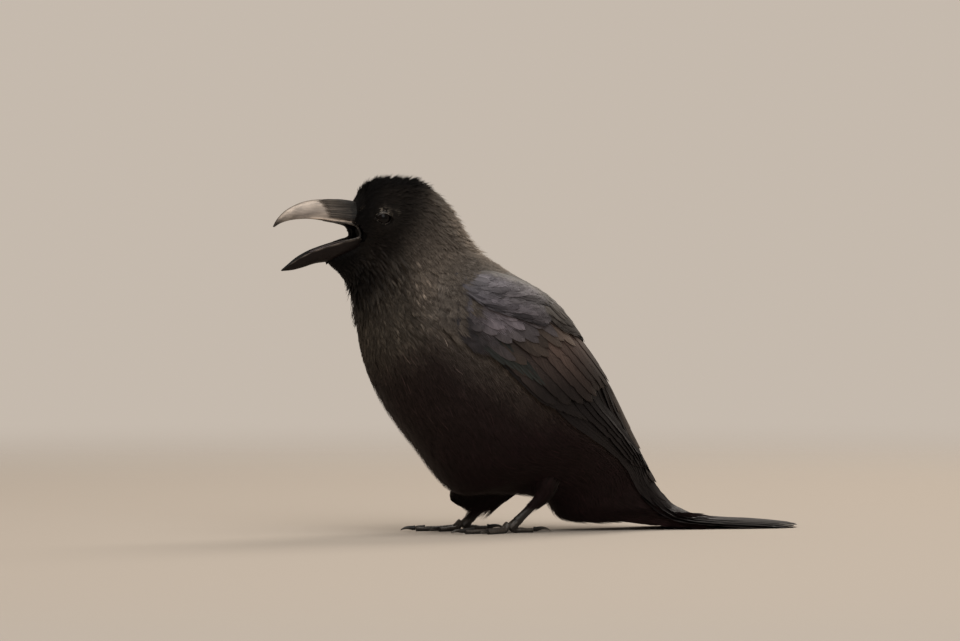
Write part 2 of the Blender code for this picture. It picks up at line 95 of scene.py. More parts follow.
# The shoulder's lobes, the lowest first. The numbers are explained in shoulder_lobe. The violet-grey of the
# upper two lobes is partly their own grey and partly painted sheen.
SHOULDER_LOBES = [
    ([(6.6, 0.0), (7.2, 0.05), (7.8, 0.12), (8.4, 0.16), (9.0, 0.04)], (0.22, 0.28, 0.30, 0.28, 0.03),
     1.0, 1.8, ((0.100, 0.088, 0.077), (0.024, 0.0180, 0.0150), (0.085, 0.073, 0.062)), 0.35),
    ([(6.3, 0.66), (6.75, 0.68), (7.3, 0.61), (7.8, 0.50), (8.15, 0.50)], (0.08, 0.08, 0.10, 0.12, 0.02),
     1.4, 1.3, ((0.095, 0.087, 0.100), (0.120, 0.107, 0.118), (0.085, 0.078, 0.083)), 0.6),
    ([(6.35, 0.52), (6.7, 0.48), (7.1, 0.40), (7.55, 0.30), (7.98, 0.25)], (0.13, 0.18, 0.18, 0.15, 0.03),
     2.0, 1.5, ((0.160, 0.148, 0.165), (0.140, 0.126, 0.132), (0.105, 0.093, 0.084)), 0.55),
]

# ---------------------------------------------------------------- head, places as (x, z)
EYE_X, EYE_Y, EYE_Z = -83.4 + SHIFT_X, 16.0, 230.9
EYE_RADIUS = 6.2
EYE_OPENING = (5.0, 3.9)  # half the length and half the height
EYE_BARE = np.array((5.8, 0.0, 4.7))  # the same with the lids that the feathers leave bare
GAPE = (-98.4 + SHIFT_X, 218.6)
BILL_BASE = -98.0  # the feathers of the forehead end here
# The edges of the open mouth, from its corner forwards.
UPPER_EDGE = [(-98.4, 219.8), (-103.0, 225.7), (-118.0, 228.6), (-140.0, 230.6)]
LOWER_EDGE = [(-98.4, 217.4), (-109.0, 214.2), (-123.6, 210.3), (-140.0, 203.6)]
# Where the feathers of chin and cheek begin, and the soft skin round the mouth's corner.
CHIN_EDGE = [(-121.0, 197.0), (-118.0, 199.5), (-104.5, 205.4), (-97.0, 211.5), (-96.6, 217.0)]
GAPE_RIM = [
    (-120.0, 229.0), (-110.0, 227.6), (-103.0, 226.0), (-99.8, 223.4), (-98.4, 219.9), (-98.7, 217.6),
    (-101.2, 216.2), (-106.0, 215.2), (-112.0, 213.8),
]
GAPE_HALF_WIDTH = 11.2

# Bills, as in the solids: ridge (x, z), cutting edge (x, z), half width.
UPPER_BILL = [
    ((-91.0, 239.0), (-91.0, 225.0), 10.6),
    ((-103.0, 242.3), (-103.0, 225.9), 11.0),
    ((-115.0, 244.0), (-115.5, 228.3), 9.6),
    ((-126.0, 244.7), (-127.0, 230.1), 8.2),
    ((-137.2, 243.3), (-137.0, 230.6), 6.6),
    ((-146.5, 240.0), (-144.6, 230.3), 5.0),
    ((-153.8, 235.6), (-150.8, 229.4), 3.4),
    ((-159.4, 229.8), (-156.8, 227.4), 1.8),
    ((-162.2, 224.9), (-161.2, 224.5), 0.5),
]
LOWER_BILL = [
    ((-91.0, 206.5), (-93.0, 216.0), 10.4),
    ((-99.0, 203.6), (-101.0, 216.2), 11.0),
    ((-108.0, 201.2), (-111.0, 214.0), 10.2),
    ((-119.0, 199.3), (-123.4, 210.5), 8.6),
    ((-129.5, 198.0), (-133.0, 207.2), 6.9),
    ((-139.0, 195.2), (-142.0, 202.8), 5.0),
    ((-147.0, 193.3), (-149.4, 197.8), 2.9),
    ((-155.4, 192.6), (-155.8, 193.3), 0.5),
]
# Half of a bill's section: (share of the half width, share of the way from ridge to cutting edge).
BILL_SECTION = [
    (0.0, 0.0), (0.30, 0.04), (0.58, 0.17), (0.80, 0.40), (0.94, 0.70),
    (1.0, 1.0), (0.80, 0.93), (0.42, 0.78), (0.0, 0.72),
]

# How far the bristles reach: (share of the way down the bill, place along it, as UPPER_BILL's rows).
BRISTLE_REACH = [(0.0, 1.9), (0.10, 2.6), (0.28, 3.4), (0.60, 3.1), (1.0, 2.7)]

# ---------------------------------------------------------------- colours (linear)
FACE_BLACK = (0.0050, 0.0042, 0.0040)
CHEEK_BROWN = (0.0130, 0.0100, 0.0080)
# The nape's brown, brightened with painted rim light along its top.
NAPE_RIM_LIGHT = (0.240, 0.190, 0.145)
NAPE_BROWN = (0.130, 0.107, 0.088)
THROAT_OLIVE = (0.050, 0.042, 0.034)
BREAST_DARK = (0.0200, 0.0125, 0.0125)
BELLY_DARK = (0.0105, 0.0040, 0.0050)
SIDE_GREY = (0.105, 0.090, 0.078)
MANTLE_GREY = (0.092, 0.080, 0.070)
SHOULDER_GREY = (0.078, 0.071, 0.078)
# The coverts' violet-grey is painted sheen in their colour.
COVERT_VIOLET_SHEEN = (0.165, 0.145, 0.165)
COVERT_BROWN = (0.098, 0.075, 0.062)
GREATER_BROWN = (0.0175, 0.0120, 0.0100)
# Brown of the tertials, lightened with painted rim light along the wing's upper edge.
TERTIAL_BROWN_RIM_LIT = (0.095, 0.074, 0.057)
FLIGHT_BROWN = (0.0090, 0.0068, 0.0062)
ALULA_GREEN = (0.0210, 0.0240, 0.0220)
LORES_BROWN = (0.030, 0.024, 0.0195)
BRISTLE_GREY = (0.130, 0.106, 0.086)
HORN_DARK = (0.0090, 0.0056, 0.0050)
# Pale grey of painted sky reflection and highlights on the dark horn.
HORN_REFLECTION = (0.340, 0.285, 0.240)
MOUTH_BLACK = (0.0026, 0.0022, 0.0022)
GAPE_FLESH = (0.120, 0.100, 0.085)
PUPIL_BLACK = (0.0012, 0.0010, 0.0010)
IRIS_BROWN = (0.0034, 0.0018, 0.0016)
LID_DARK = (0.0065, 0.0055, 0.0055)
# Painted glints on the lids' rims and on small feathers round the eyes.
LID_GLINT = (0.360, 0.310, 0.255)
TONGUE_TONES = ((0.020, 0.012, 0.013), (0.060, 0.032, 0.034))
CLAW_DARK = (0.010, 0.0085, 0.0078)
# Painted highlight towards the tips of the claws.
CLAW_HIGHLIGHT = (0.075, 0.066, 0.056)
LEG_GREY = (0.0115, 0.0092, 0.0076)
LEG_GROOVE = (0.0045, 0.0038, 0.0035)
# Painted highlights on the tops of the leg's and toes' plates.
LEG_TOP_HIGHLIGHT = (0.105, 0.085, 0.068)

FRINGE_BULK = {"left": 0.0, "right": 1.0}  # of the feathers in front of each thigh
LEG_LEAN = np.array((0.742, 0.0, 0.670))  # up the bare leg
LEG_RADIUS = 3.1
TOE_TOP = 8.5  # height of the ankle; lower down, the plates lie as on the toes
SOLE = 0.25  # what lies lower than this stays flat
APRON_TOP = 38.0  # height of the roots of the belly feathers before the right leg
COAT_INSET = 0.7  # the smooth plumage lies this far inside the solids' outside
FEATHERS_OVER_FLOOR = 0.3  # the least height of a feather's point
SHAFT_GLEAM = 0.35  # how much lighter a feather's shaft is
BUMP_HEIGHT = 0.0003  # metres

# ---------------------------------------------------------------- stage
FLOOR_RADIUS = 14.0
FLOOR_FADE = (0.45, 2.4)  # metres from the bird over which the floor fades
FLOOR_COLOUR = (0.50, 0.44, 0.38, 1)
BACKDROP = (0.56, 0.49, 0.42, 1)
LIGHT_AIM = (0, 0, 0.14)
WIDTH_SEEN = 0.7056  # metres across the picture at the bird

# ================================================================ curves, ramps and mixes


def curve_rows(rows, place):
    """Rows of numbers at an array of places on a smooth curve through them."""
    rows = np.asarray(rows, float)
    place = np.clip(np.asarray(place, float), 0, len(rows) - 1)
    i = np.minimum(place.astype(int), len(rows) - 2)
    t = (place - i)[..., None]
    before, here = rows[np.maximum(i - 1, 0)], rows[i]
    there, after = rows[i + 1], rows[np.minimum(i + 2, len(rows) - 1)]
    slope_here, slope_there = (there - before) / 2, (after - here) / 2
    return (
        (2 * t**3 - 3 * t**2 + 1) * here
        + (t**3 - 2 * t**2 + t) * slope_here
        + (3 * t**2 - 2 * t**3) * there
        + (t**3 - t**2) * slope_there
    )


def curve_at(rows, share):
    """Rows of numbers at shares, from 0 to 1, of the way along a smooth curve through them."""
    return curve_rows(rows, np.asarray(share) * (len(rows) - 1))


def unit(v):
    return v / np.maximum(np.linalg.norm(v, axis=-1, keepdims=True), 1e-9)


def mix(a, b, share):
    share = np.asarray(share)[..., None]
    return np.asarray(a) * (1 - share) + np.asarray(b) * share


def ramp(value, low, high):
    t = np.clip((np.asarray(value, float) - low) / (high - low), 0, 1)
    return t * t * (3 - 2 * t)


def fall(value, low, high):
    return 1 - ramp(value, low, high)


def band(value, *ends):
    """1 between the middle two of four ascending ends, fading to 0 at the outer two."""
    return ramp(value, *ends[:2]) * fall(value, *ends[2:])


def bump(value, middle, reach):
    """1 at the middle and nearly 0 beyond twice the reach from it."""
    return np.exp(-(((value - middle) / reach) ** 2))


# ================================================================ body coordinates


def on_body(station, angle):
    """Points of the body's outside, in millimetres, for arrays of stations and angles in degrees."""
    station, angle = np.broadcast_arrays(np.asarray(station, float), np.asarray(angle, float))
    back_x, back_z, belly_x, belly_z, width, power, level = np.moveaxis(curve_rows(ROWS, station), -1, 0)
    c, s = np.cos(np.radians(angle)), np.sin(np.radians(angle))
    along = np.sign(c) * np.abs(c) ** (2 / power) + level * s * s
    across = np.sign(s) * np.abs(s) ** (2 / power)
    x = (back_x + belly_x) / 2 + along * (back_x - belly_x) / 2
    z = (back_z + belly_z) / 2 + along * (back_z - belly_z) / 2
    return np.stack([x, -width * across, np.maximum(z, 0.3)], -1)


def body_axes(station, angle):
    """(unit vector along the lie of the feathers, outward normal, mm per station, mm per degree)"""
    ds, da = 0.04, 1.0
    station = np.clip(station, ds, len(ROWS) - 1 - ds)
    lie = (on_body(station + ds, angle) - on_body(station - ds, angle)) / (2 * ds)
    turn = (on_body(station, angle + da) - on_body(station, angle - da)) / (2 * da)
    normal = unit(np.cross(turn, lie))
    return unit(lie), normal, np.linalg.norm(lie, axis=-1), np.linalg.norm(turn, axis=-1)


def place_of(station, angle):
    """The bake map's place for a root: round the body across, and along it upwards."""
    return np.stack([0.5 + angle / 372, 0.02 + 0.96 * station / (len(ROWS) - 1)], -1)


# ================================================================ meshes


def mesh_object(name, points, faces, material):
    """An object from points in millimetres and faces, either one array or a list of arrays."""
    faces = [f for f in (faces if isinstance(faces, list) else [faces]) if len(f)]
    mesh = bpy.data.meshes.new(name)
    mesh.vertices.add(len(points))
    mesh.vertices.foreach_set("co", (np.asarray(points, np.float32) * MM).ravel())
    loops = np.concatenate([f.ravel() for f in faces]).astype(np.int32)
    totals = np.concatenate([np.full(len(f), f.shape[1], np.int32) for f in faces])
    mesh.loops.add(len(loops))
    mesh.loops.foreach_set("vertex_index", loops)
    mesh.polygons.add(len(totals))
    mesh.polygons.foreach_set("loop_start", np.cumsum(totals, dtype=np.int32) - totals)
    mesh.polygons.foreach_set("loop_total", totals)
    mesh.update(calc_edges=True)
    mesh.validate()
    mesh.shade_smooth()
    mesh.materials.append(material)
    return in_scene(name, mesh)


def turns(count):
    """Angles once round."""
    return np.linspace(0, 2 * math.pi, count, endpoint=False)


def ring_faces(rings, parts, closed=True):
    """Quads between rings of points."""
    i, j = np.meshgrid(np.arange(rings - 1), np.arange(parts if closed else parts - 1), indexing="ij")
    k, low, high = (j + 1) % parts, i * parts, (i + 1) * parts
    return np.stack([low + j, high + j, high + k, low + k], -1).reshape(-1, 4)


def ring_mesh(name, grid, turned, material):
    """An object from rings of points. turned changes its inside for its outside."""
    faces = ring_faces(*grid.shape[:2])
    return mesh_object(name, grid.reshape(-1, 3), faces[:, ::-1] if turned else faces, material)


def box_mm(node):
    """The lowest and the highest corner of a node, in millimetres."""
    return (np.array(corner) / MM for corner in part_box(node))


def values(items, key, width, kind=np.float32):
    """A row of numbers for each item of a mesh."""
    rows = np.empty(len(items) * width, kind)
    items.foreach_get(key, rows)
    return rows.reshape(-1, width)


def add_uv(mesh, name, per_point):
    corners = values(mesh.loops, "vertex_index", 1, np.int32)[:, 0]
    layer = mesh.uv_layers.new(name=name, do_init=False)
    layer.data.foreach_set("uv", per_point.astype(np.float32)[corners].ravel())


def paint(obj, per_point):
    """Gives each point of a piece its Plumage colour, which the materials read."""
    layer = obj.data.color_attributes.new(name="Plumage", type="FLOAT_COLOR", domain="POINT")
    rgba = np.concatenate([per_point, np.ones((len(per_point), 1))], 1).astype(np.float32)
    layer.data.foreach_set("color", rgba.ravel())


def node_points(*names):
    """Points in millimetres and triangles of CAD nodes, as one pair of arrays."""
    points, triangles, base = [], [], 0
    for name in names:
        mesh = NODES[name].data
        mesh.calc_loop_triangles()
        points.append(values(mesh.vertices, "co", 3) / MM)
        triangles.append(values(mesh.loop_triangles, "vertices", 3, np.int32) + base)
        base += len(points[-1])
    return np.concatenate(points), np.concatenate(triangles)


def tree_of(*names):
    points, triangles = node_points(*names)
    return BVHTree.FromPolygons(points.tolist(), triangles.tolist())


def solid_copy(name, nodes, grow, voxel, rounds, material):
    """One closed smooth mesh round CAD nodes: each is grown a little, so that gaps between them
    close, and the whole is remeshed with voxels, smoothed and drawn back by the same amount."""
    points, triangles = node_points(*nodes)
    work = mesh_object(name, points, triangles, material)
    shape = bmesh.new()
    shape.from_mesh(work.data)
    bmesh.ops.remove_doubles(shape, verts=shape.verts, dist=0.02 * MM)
    bmesh.ops.recalc_face_normals(shape, faces=shape.faces)
    for vertex in shape.verts:
        vertex.co += vertex.normal * grow * MM
    shape.to_mesh(work.data)
    shape.free()
    remesh = work.modifiers.new("remesh", "REMESH")
    remesh.mode, remesh.voxel_size, remesh.use_smooth_shade = "VOXEL", voxel * MM, True
    smooth = work.modifiers.new("smooth", "SMOOTH")
    smooth.factor, smooth.iterations = 0.5, rounds
    apply_modifiers(work)
    keep_largest(work)
    points, normals = points_and_normals(work)
    set_points(work, points - normals.astype(float) * grow)
    return work


def apply_modifiers(obj):
    bpy.context.view_layer.update()
    graph = bpy.context.evaluated_depsgraph_get()
    result = bpy.data.meshes.new_from_object(obj.evaluated_get(graph))
    obj.modifiers.clear()
    old = obj.data
    obj.data = result
    bpy.data.meshes.remove(old)


def keep_largest(obj):
    """Removes loose shells inside a remeshed solid."""
    shape = bmesh.new()
    shape.from_mesh(obj.data)
    unseen = set(shape.verts)
    best = set()
    while unseen:
        group, front = set(), [next(iter(unseen))]
        unseen.discard(front[0])
        while front:
            vertex = front.pop()
            group.add(vertex)
            for edge in vertex.link_edges:
                other = edge.other_vert(vertex)
                if other in unseen:
                    unseen.discard(other)
                    front.append(other)
        best = max(best, group, key=len)
    bmesh.ops.delete(shape, geom=[v for v in shape.verts if v not in best], context="VERTS")
    shape.to_mesh(obj.data)
    shape.free()


def points_and_normals(obj):
    return values(obj.data.vertices, "co", 3) / MM, values(obj.data.vertex_normals, "vector", 3)


def set_points(obj, points):
    obj.data.vertices.foreach_set("co", (points * MM).astype(np.float32).ravel())
    obj.data.update()


def finished(obj, slot, *replaced):
    """Ties a piece to the frame."""
    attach(obj, "root")
    if replaced:
        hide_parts(*replaced)
    return obj


# ================================================================ feathers


class Template:
    """One feather's points as shares: along its middle line, across it and up from it. The fourth
    number of a point is 1 on a raised shaft."""

    def __init__(self):
        self.rows, self.quads, self.triangles = [], [], []

    def point(self, along, across, up=0.0, shaft=0.0):
        self.rows.append((along, across, up, shaft))
        return len(self.rows) - 1

    def strip(self, *rows):
        """Quads between rows of points, the nearest to the root first."""
        for low, high in zip(rows, rows[1:]):
            self.quads += [(low[j], low[j + 1], high[j + 1], high[j]) for j in range(len(low) - 1)]

    def done(self):
        self.along, self.across, self.up, self.shaft = np.array(self.rows, float).T
        self.quads = np.array(self.quads, np.int32).reshape(-1, 4)
        self.triangles = np.array(self.triangles, np.int32).reshape(-1, 3)
        return self


def several(count, make, *numbers, **more):
    """Templates of one kind, each with its own chances."""
    return [make(RNG, *numbers, **more) for _ in range(count)]


def half_width(along, tip=0.62, round_=2.2, root=0.3):
    """Share of a feather's half width at a share of its length."""
    rise = root + (1 - root) * min(1.0, along / 0.35) ** 0.7
    taper = max(0.0, (along - tip) / (1 - tip))
    return rise * max(0.0, 1 - taper**round_) ** 0.5


def loose_feather(rng, fingers, base, fan, spread=0.18, camber=0.22):
    """A body feather: a plain base, most of it under its neighbours, that ends in loose barbs."""
    t = Template()
    rows = []
    for along in (0.0, base * 0.55, base):
        w = half_width(along, tip=0.8)
        rows.append([t.point(along, w * u, -camber * u * u * w) for u in (-1, 0, 1)])
    t.strip(*rows)
    for k in range(fingers):
        left = -1 + 2 * k / fingers
        right = left + 2 / fingers
        middle = (left + right) / 2
        reach = (1 - base) * (1 - 0.55 * abs(middle) ** 1.6) * rng.uniform(0.72, 1.0)
        bend = middle * w * fan + rng.normal(0, spread / fingers * 2)
        lift = rng.normal(0, 0.05)
        half = (right - left) / 2 * w * 0.62
        centre, mid = middle * w + bend * 0.45, base + reach * 0.55
        up = -camber * middle * middle * w + lift * 0.5
        near = [t.point(base, u * w, -camber * u * u * w) for u in (left, right)]
        far = [t.point(mid, centre - half, up), t.point(mid, centre + half, up)]
        t.strip(near, far)
        t.triangles.append((*far, t.point(base + reach, middle * w + bend, up + lift)))
    return t.done()


def blade_feather(rng, rows=4, camber=0.35, split=0.0):
    """A narrow pointed feather or a hair, folded a little along its middle."""
    t = Template()
    lines = []
    for along in np.arange(rows) / rows:
        w = half_width(along, tip=0.25, round_=1.3, root=0.45)
        lines.append([t.point(along, w * u, -camber * abs(u) * w) for u in (-1, 0, 1)])
    t.strip(*lines)
    for j in (0, 1):
        side = (j * 2 - 1) * split * rng.uniform(0.5, 1)
        tip = t.point(1.0 - 0.1 * rng.random() * (split > 0), side)
        t.triangles.append((lines[-1][j], lines[-1][j + 1], tip))
    return t.done()


def hair(rows=3):
    """A flat hair that thins to a point."""
    t = Template()
    lines = [[t.point(i / rows, u * (1 - 0.6 * i / rows)) for u in (-1, 1)] for i in range(rows)]
    t.strip(*lines)
    t.triangles.append((*lines[-1], t.point(1.0, 0.0)))
    return t.done()


def vane_feather(rng, rows, columns, tip, round_, narrow_side=1.0, camber=0.16, ragged=0.05, shaft=0.035,
                 root=0.35, gaps=2):
    """A firm flat feather with a raised shaft. narrow_side is the share of the side nearer the
    lower edge of the wing, or the outside of the tail."""
    t = Template()
    splits = rng.choice(np.arange(rows // 3, rows), size=gaps, replace=False)
    grid = []
    for i, along in enumerate(1 - (1 - np.linspace(0, 1, rows + 1)) ** 1.25):
        w = half_width(along, tip, round_, root)
        grid.append([])
        for j in range(columns + 1):
            u = -1 + 2 * j / columns
            side = narrow_side if u > 0 else 1.0
            edge = 1 + ragged * rng.normal() * (abs(u) == 1)
            if i in splits and abs(u) == 1:
                edge *= 0.82
            push = 0.05 * abs(u) ** 1.5 * side * (1 - along)
            place = along + push * 0.3 - 0.02 * abs(u) * along
            grid[-1].append(t.point(place, u * side * w * edge, -camber * u * u * w))
    t.strip(*grid)
    ridge = []
    for along in 0.97 * np.arange(9) / 8:
        size = shaft * (1 - 0.75 * along)
        ridge.append([t.point(along, u * size, size * h, 1.0) for u, h in ((-1, 0.1), (0, 1.0), (1, 0.1))])
    t.strip(*ridge)
    return t.done()


class Coat:
    """Collects feathers and turns them into one object."""

    def __init__(self):
        self.points, self.quads, self.triangles = [], [], []
        self.vane, self.place, self.colour = [], [], []
        self.count = 0

    def add(self, template, line, normals, width, colours, places, mirrored=False, tilt=0.0,
            root_shade=0.55, shade_span=(0.0, 0.7)):
        """line and normals are (feathers, knots, 3); width, colours and places are per feather.
        tilt raises each feather's far side, so that it overlies the next. root_shade is the root's
        brightness beside the tip's, below 1 a painted shade on roots under other feathers, and
        shade_span the share of the length over which it changes."""
        if not len(line):
            return
        knots = line.shape[1]
        at = np.clip(template.along, 0, 1) * (knots - 1)
        low = np.minimum(at.astype(int), knots - 2)
        t = (at - low)[None, :, None]
        centre, normal, tangent = (rows[:, low] * (1 - t) + rows[:, low + 1] * t
                                   for rows in (line, normals, np.gradient(line, axis=1)))
        normal = unit(normal)
        side = unit(np.cross(unit(tangent), normal))
        w = width[:, None, None]
        up = (template.up + tilt * template.across)[None, :, None] * w
        points = centre + side * template.across[None, :, None] * w + normal * up
        n, m = len(line), len(template.along)
        spot = places.copy()
        if mirrored:
            points[..., 1] *= -1
            spot[:, 0] = 1 - spot[:, 0]
        base = self.count + np.arange(n, dtype=np.int64)[:, None, None] * m
        for faces, kept in ((template.quads, self.quads), (template.triangles, self.triangles)):
            if len(faces):
                kept.append((faces[None, :, :: -1 if mirrored else 1] + base).reshape(-1, faces.shape[1]))
        # below 1, root_shade paints shade on the roots that other feathers cover
        shade = root_shade + (1 - root_shade) * ramp(template.along, *shade_span)
        shade = np.repeat(colours[:, None, :], m, 1) * shade[None, :, None]
        shade = shade * (1 + SHAFT_GLEAM * template.shaft[None, :, None])
        vane = np.stack([template.across * 0.5 + 0.5, template.along], -1)
        patch = np.stack([np.clip(template.across, -1, 1) * 0.0015, (template.along - 0.5) * 0.003], -1)
        self.points.append(points.reshape(-1, 3))
        self.colour.append(shade.reshape(-1, 3))
        self.vane.append(np.broadcast_to(vane, (n, m, 2)).reshape(-1, 2))
        self.place.append((spot[:, None, :] + patch[None]).reshape(-1, 2))
        self.count += n * m

    def deal(self, templates, choice, line, normals, width, colours, places, sides=(False,), **more):
        """Adds feathers with the templates of their choice, once for each side, mirrored or not."""
        for k, template in enumerate(templates):
            pick = choice == k
            for mirrored in sides:
                self.add(template, line[pick], normals[pick], width[pick], colours[pick], places[pick],
                         mirrored, **more)

    def build(self, name, material, slot, *replaced):
        points = np.concatenate(self.points)
        points[:, 2] = np.maximum(points[:, 2], FEATHERS_OVER_FLOOR)
        faces = [np.concatenate(f) for f in (self.quads, self.triangles) if f]
        made = mesh_object(name, points, faces, material)
        add_uv(made.data, "Vane", np.concatenate(self.vane))
        add_uv(made.data, "OFBake", np.clip(np.concatenate(self.place), 0.001, 0.999))
        paint(made, np.concatenate(self.colour))
        print(f"{name}: {sum(len(f) * (f.shape[1] - 2) for f in faces)} triangles")
        return finished(made, slot, *replaced)


def plumage_colour(station, angle):
    """Colour of the plumage at places on the body, laid on from the face to the belly."""
    a = np.abs(angle)
    mottle = 0.5 + 0.5 * np.sin(station * 9.1 + np.sin(angle * 0.11) * 3.0) * np.cos(angle * 0.13)
    colour = FACE_BLACK
    for laid, share in (
        (CHEEK_BROWN, ramp(station, 1.5, 2.6) * band(a, 24, 44, 118, 140)),
        (LORES_BROWN, fall(station, 0.15, 0.75) * band(a, 36, 50, 92, 108)),
        # the top of the nape is lighter with painted rim light
        (mix(NAPE_RIM_LIGHT, NAPE_BROWN, ramp(a, 20, 52)), ramp(station, 3.2, 5.0) ** 1.6 * fall(a, 88, 122)),
        (THROAT_OLIVE, ramp(station, 3.2, 4.5) * ramp(a, 92, 126)),
        (BREAST_DARK, ramp(station, 5.8, 7.6) * ramp(a, 70, 112)),
        (SIDE_GREY, 0.85 * band(station, 5.2, 6.0, 7.0, 8.6) * band(a, 36, 56, 92, 122)),
        (MANTLE_GREY, ramp(station, 5.9, 7.2) * fall(a, 45, 80)),
        (BELLY_DARK, ramp(station, 7.9, 9.8) * ramp(a, 50, 90)),
        (BELLY_DARK, 0.9 * ramp(station, 9.0, 12.0)),
    ):
        colour = mix(colour, laid, share)
    return colour * (0.86 + 0.28 * mottle * ramp(station, 4.5, 6.0))[..., None]


def varied(colours, amount):
    """Colours with a different brightness for each feather."""
    return colours * np.exp(RNG.normal(0, amount, (len(colours), 1)))


# ================================================================ body coat


def staggered(start, end, spacing, from_angle=-180.0, to_angle=180.0):
    """Stations and angles in staggered rows about spacing millimetres apart, a little uneven."""
    stations, angles = [], []
    station, odd = start, 0
    grid = np.linspace(-180, 180, 121)
    while station < end:
        _, _, per_station, per_degree = body_axes(np.full(121, station), grid)
        steps = np.concatenate([[0], np.cumsum((per_degree[1:] + per_degree[:-1]) / 2 * 3)])
        count = max(8, int(steps[-1] / spacing))
        wanted = (np.arange(count) + 0.5 * odd + RNG.uniform(-0.28, 0.28, count)) / count * steps[-1]
        angle = np.interp(wanted, steps, grid)
        keep = (angle >= from_angle) & (angle <= to_angle)
        step = spacing / per_station.mean()
        stations.append((station + RNG.uniform(-0.3, 0.3, count) * step)[keep])
        angles.append(angle[keep])
        station += step
        odd = 1 - odd
    return np.concatenate(stations), np.concatenate(angles)


def wing_edges(station):
    """Angles of the wing's upper and lower edge."""
    return (np.interp(station, WING_EDGES[:, 0], WING_EDGES[:, column]) for column in (1, 2))


def wing_angle(station, across):
    """The angle of a place on the wing. across is 0 at its upper edge and 1 at its lower edge."""
    upper, lower = wing_edges(station)
    return upper + across * (lower - upper)


def under_wing(station, angle, margin):
    """True for places that the wing hides, more than margin degrees inside its edges."""
    upper, lower = wing_edges(station)
    a = np.abs(angle)
    return (station > WING_START + 0.5) & (station < WING_TIP) & (a > upper + margin) & (a < lower - margin)


def mouth_gap(points, margin):
    """True for points between the open jaws, seen from the side."""
    x, _, z = np.moveaxis(points, -1, 0)
    top, bottom = (np.interp(x - SHIFT_X, *np.array(edge[::-1]).T) for edge in (UPPER_EDGE, LOWER_EDGE))
    return (x < GAPE[0] + margin) & (z < top + margin) & (z > bottom - margin)


def before_chin(points):
    """True for points in front of the edge where the feathers of chin and cheek begin."""
    edge_x, edge_z = np.array(CHIN_EDGE).T
    start = np.interp(points[..., 2], edge_z, edge_x + SHIFT_X)
    return (points[..., 2] < GAPE[1]) & (points[..., 0] < start)


def eye_distance(points):
    """Distance from the eye's middle in half openings with their lids, seen from the side."""
    return np.hypot((points[..., 0] - EYE_X) / EYE_BARE[0], (points[..., 2] - EYE_Z) / EYE_BARE[2])


def round_eye(line):
    """Feather lines that would cross an eye are pushed aside to run past it."""
    push = np.maximum(0, 1.1 - eye_distance(line))[..., None]
    return line + unit((line - (EYE_X, 0, EYE_Z)) * (1, 0, 1)) * push * EYE_BARE


def coat_depth(station):
    """How far the skin lies under the outline of the plumage."""
    depth = 0.7 + 1.6 * ramp(station, 1.0, 3.5) + 1.9 * ramp(station, 4.0, 7.0)
    return depth * (1 - 0.55 * ramp(station, 12.5, 14.5))


def grow(coat, templates, station, angle, length, width, lift, sway, colours, depth=None, knots=5):
    """Adds feathers that lie along the body. lift is the height of each tip over the plumage,
    depth that of its root under it, and sway how far it turns aside."""
    depth = coat_depth(station) if depth is None else depth
    _, _, per_station, per_degree = body_axes(station, angle)
    share = np.linspace(0, 1, knots)[None]
    s = station[:, None] + (length / per_station)[:, None] * share
    a = angle[:, None] + (sway * length / np.maximum(per_degree, 0.15))[:, None] * share**1.5
    _, normal, _, _ = body_axes(s, a)
    height = -depth[:, None] * (1 - share) ** 1.1 - COAT_INSET + lift[:, None] * share**2.2
    line = round_eye(on_body(s, a) + normal * height[..., None])
    choice = RNG.integers(0, len(templates), len(station))
    choice[mouth_gap(line, -0.3).any(1)] = -1  # a feather that would hang in the mouth is left out
    coat.deal(templates, choice, line, normal, width, colours, place_of(station, angle))


def free_places(station, angle, wing_margin=6.0):
    """Leaves out places in the mouth, in the eyes and under the wings."""
    points = on_body(station, angle)
    keep = ~mouth_gap(points, 0.6) & ~before_chin(points) & (eye_distance(points) > 0.96)
    keep &= ~under_wing(station, angle, wing_margin)
    return station[keep], angle[keep]


def head_coat(material):
    coat = Coat()
    tufts = several(6, loose_feather, 3, 0.35, 0.25, spread=0.3)
    station, angle = free_places(*staggered(0.02, 4.5, 1.7))
    n = len(station)
    face = fall(station, 0.3, 2.6)
    length = (6.8 - 3.8 * face) * RNG.uniform(0.8, 1.2, n)
    width = (1.5 - 0.55 * face) * RNG.uniform(0.85, 1.15, n)
    crown = ramp(station, 1.0, 1.9) * fall(np.abs(angle), 30, 62) * (1 - 0.7 * ramp(station, 3.6, 4.4))
    lift = 0.6 + crown * (1.6 + 2.4 * RNG.random(n) ** 1.6) + 0.25 * RNG.random(n)
    sway = RNG.normal(0, 0.09, n)
    colours = varied(plumage_colour(station, angle), 0.10)
    roots = on_body(station, angle)
    # painted glints on some small feathers in front of the eye, above it and behind
    colours = mix(colours, LID_GLINT, 0.85 * brow_glint_share(roots) * (RNG.random(n) < 0.55))
    near_eye = eye_clearance(roots)
    length = length * (0.55 + 0.45 * near_eye)
    depth = 0.1 + coat_depth(station) * near_eye
    grow(coat, tufts, station, angle, length, width, lift, sway, colours, depth)
    crest(coat, 640, (0.25, 4.0), 52, (6.5, 10.0), (1.2, 2.2), (2.2, 5.2))
    return coat.build("head_coat", material, "feather")


def crest(coat, count, stations, spread, length, width, lift):
    """Raised pointed tufts along the top of crown or nape."""
    blades = several(6, blade_feather, 4, 0.3, split=0.5)
    station = RNG.uniform(*stations, count)
    angle = RNG.normal(0, spread / 2, count)
    fade = bump(angle, 0, spread) * ramp(station, stations[0] - 0.1, stations[0] + 0.8)
    height = lift[0] + (lift[1] - lift[0]) * RNG.random(count) ** 1.5
    colours = varied(plumage_colour(station, angle), 0.15)
    grow(coat, blades, station, angle, RNG.uniform(*length, count), RNG.uniform(*width, count) / 2,
         height * fade, RNG.normal(0, 0.2, count), colours)


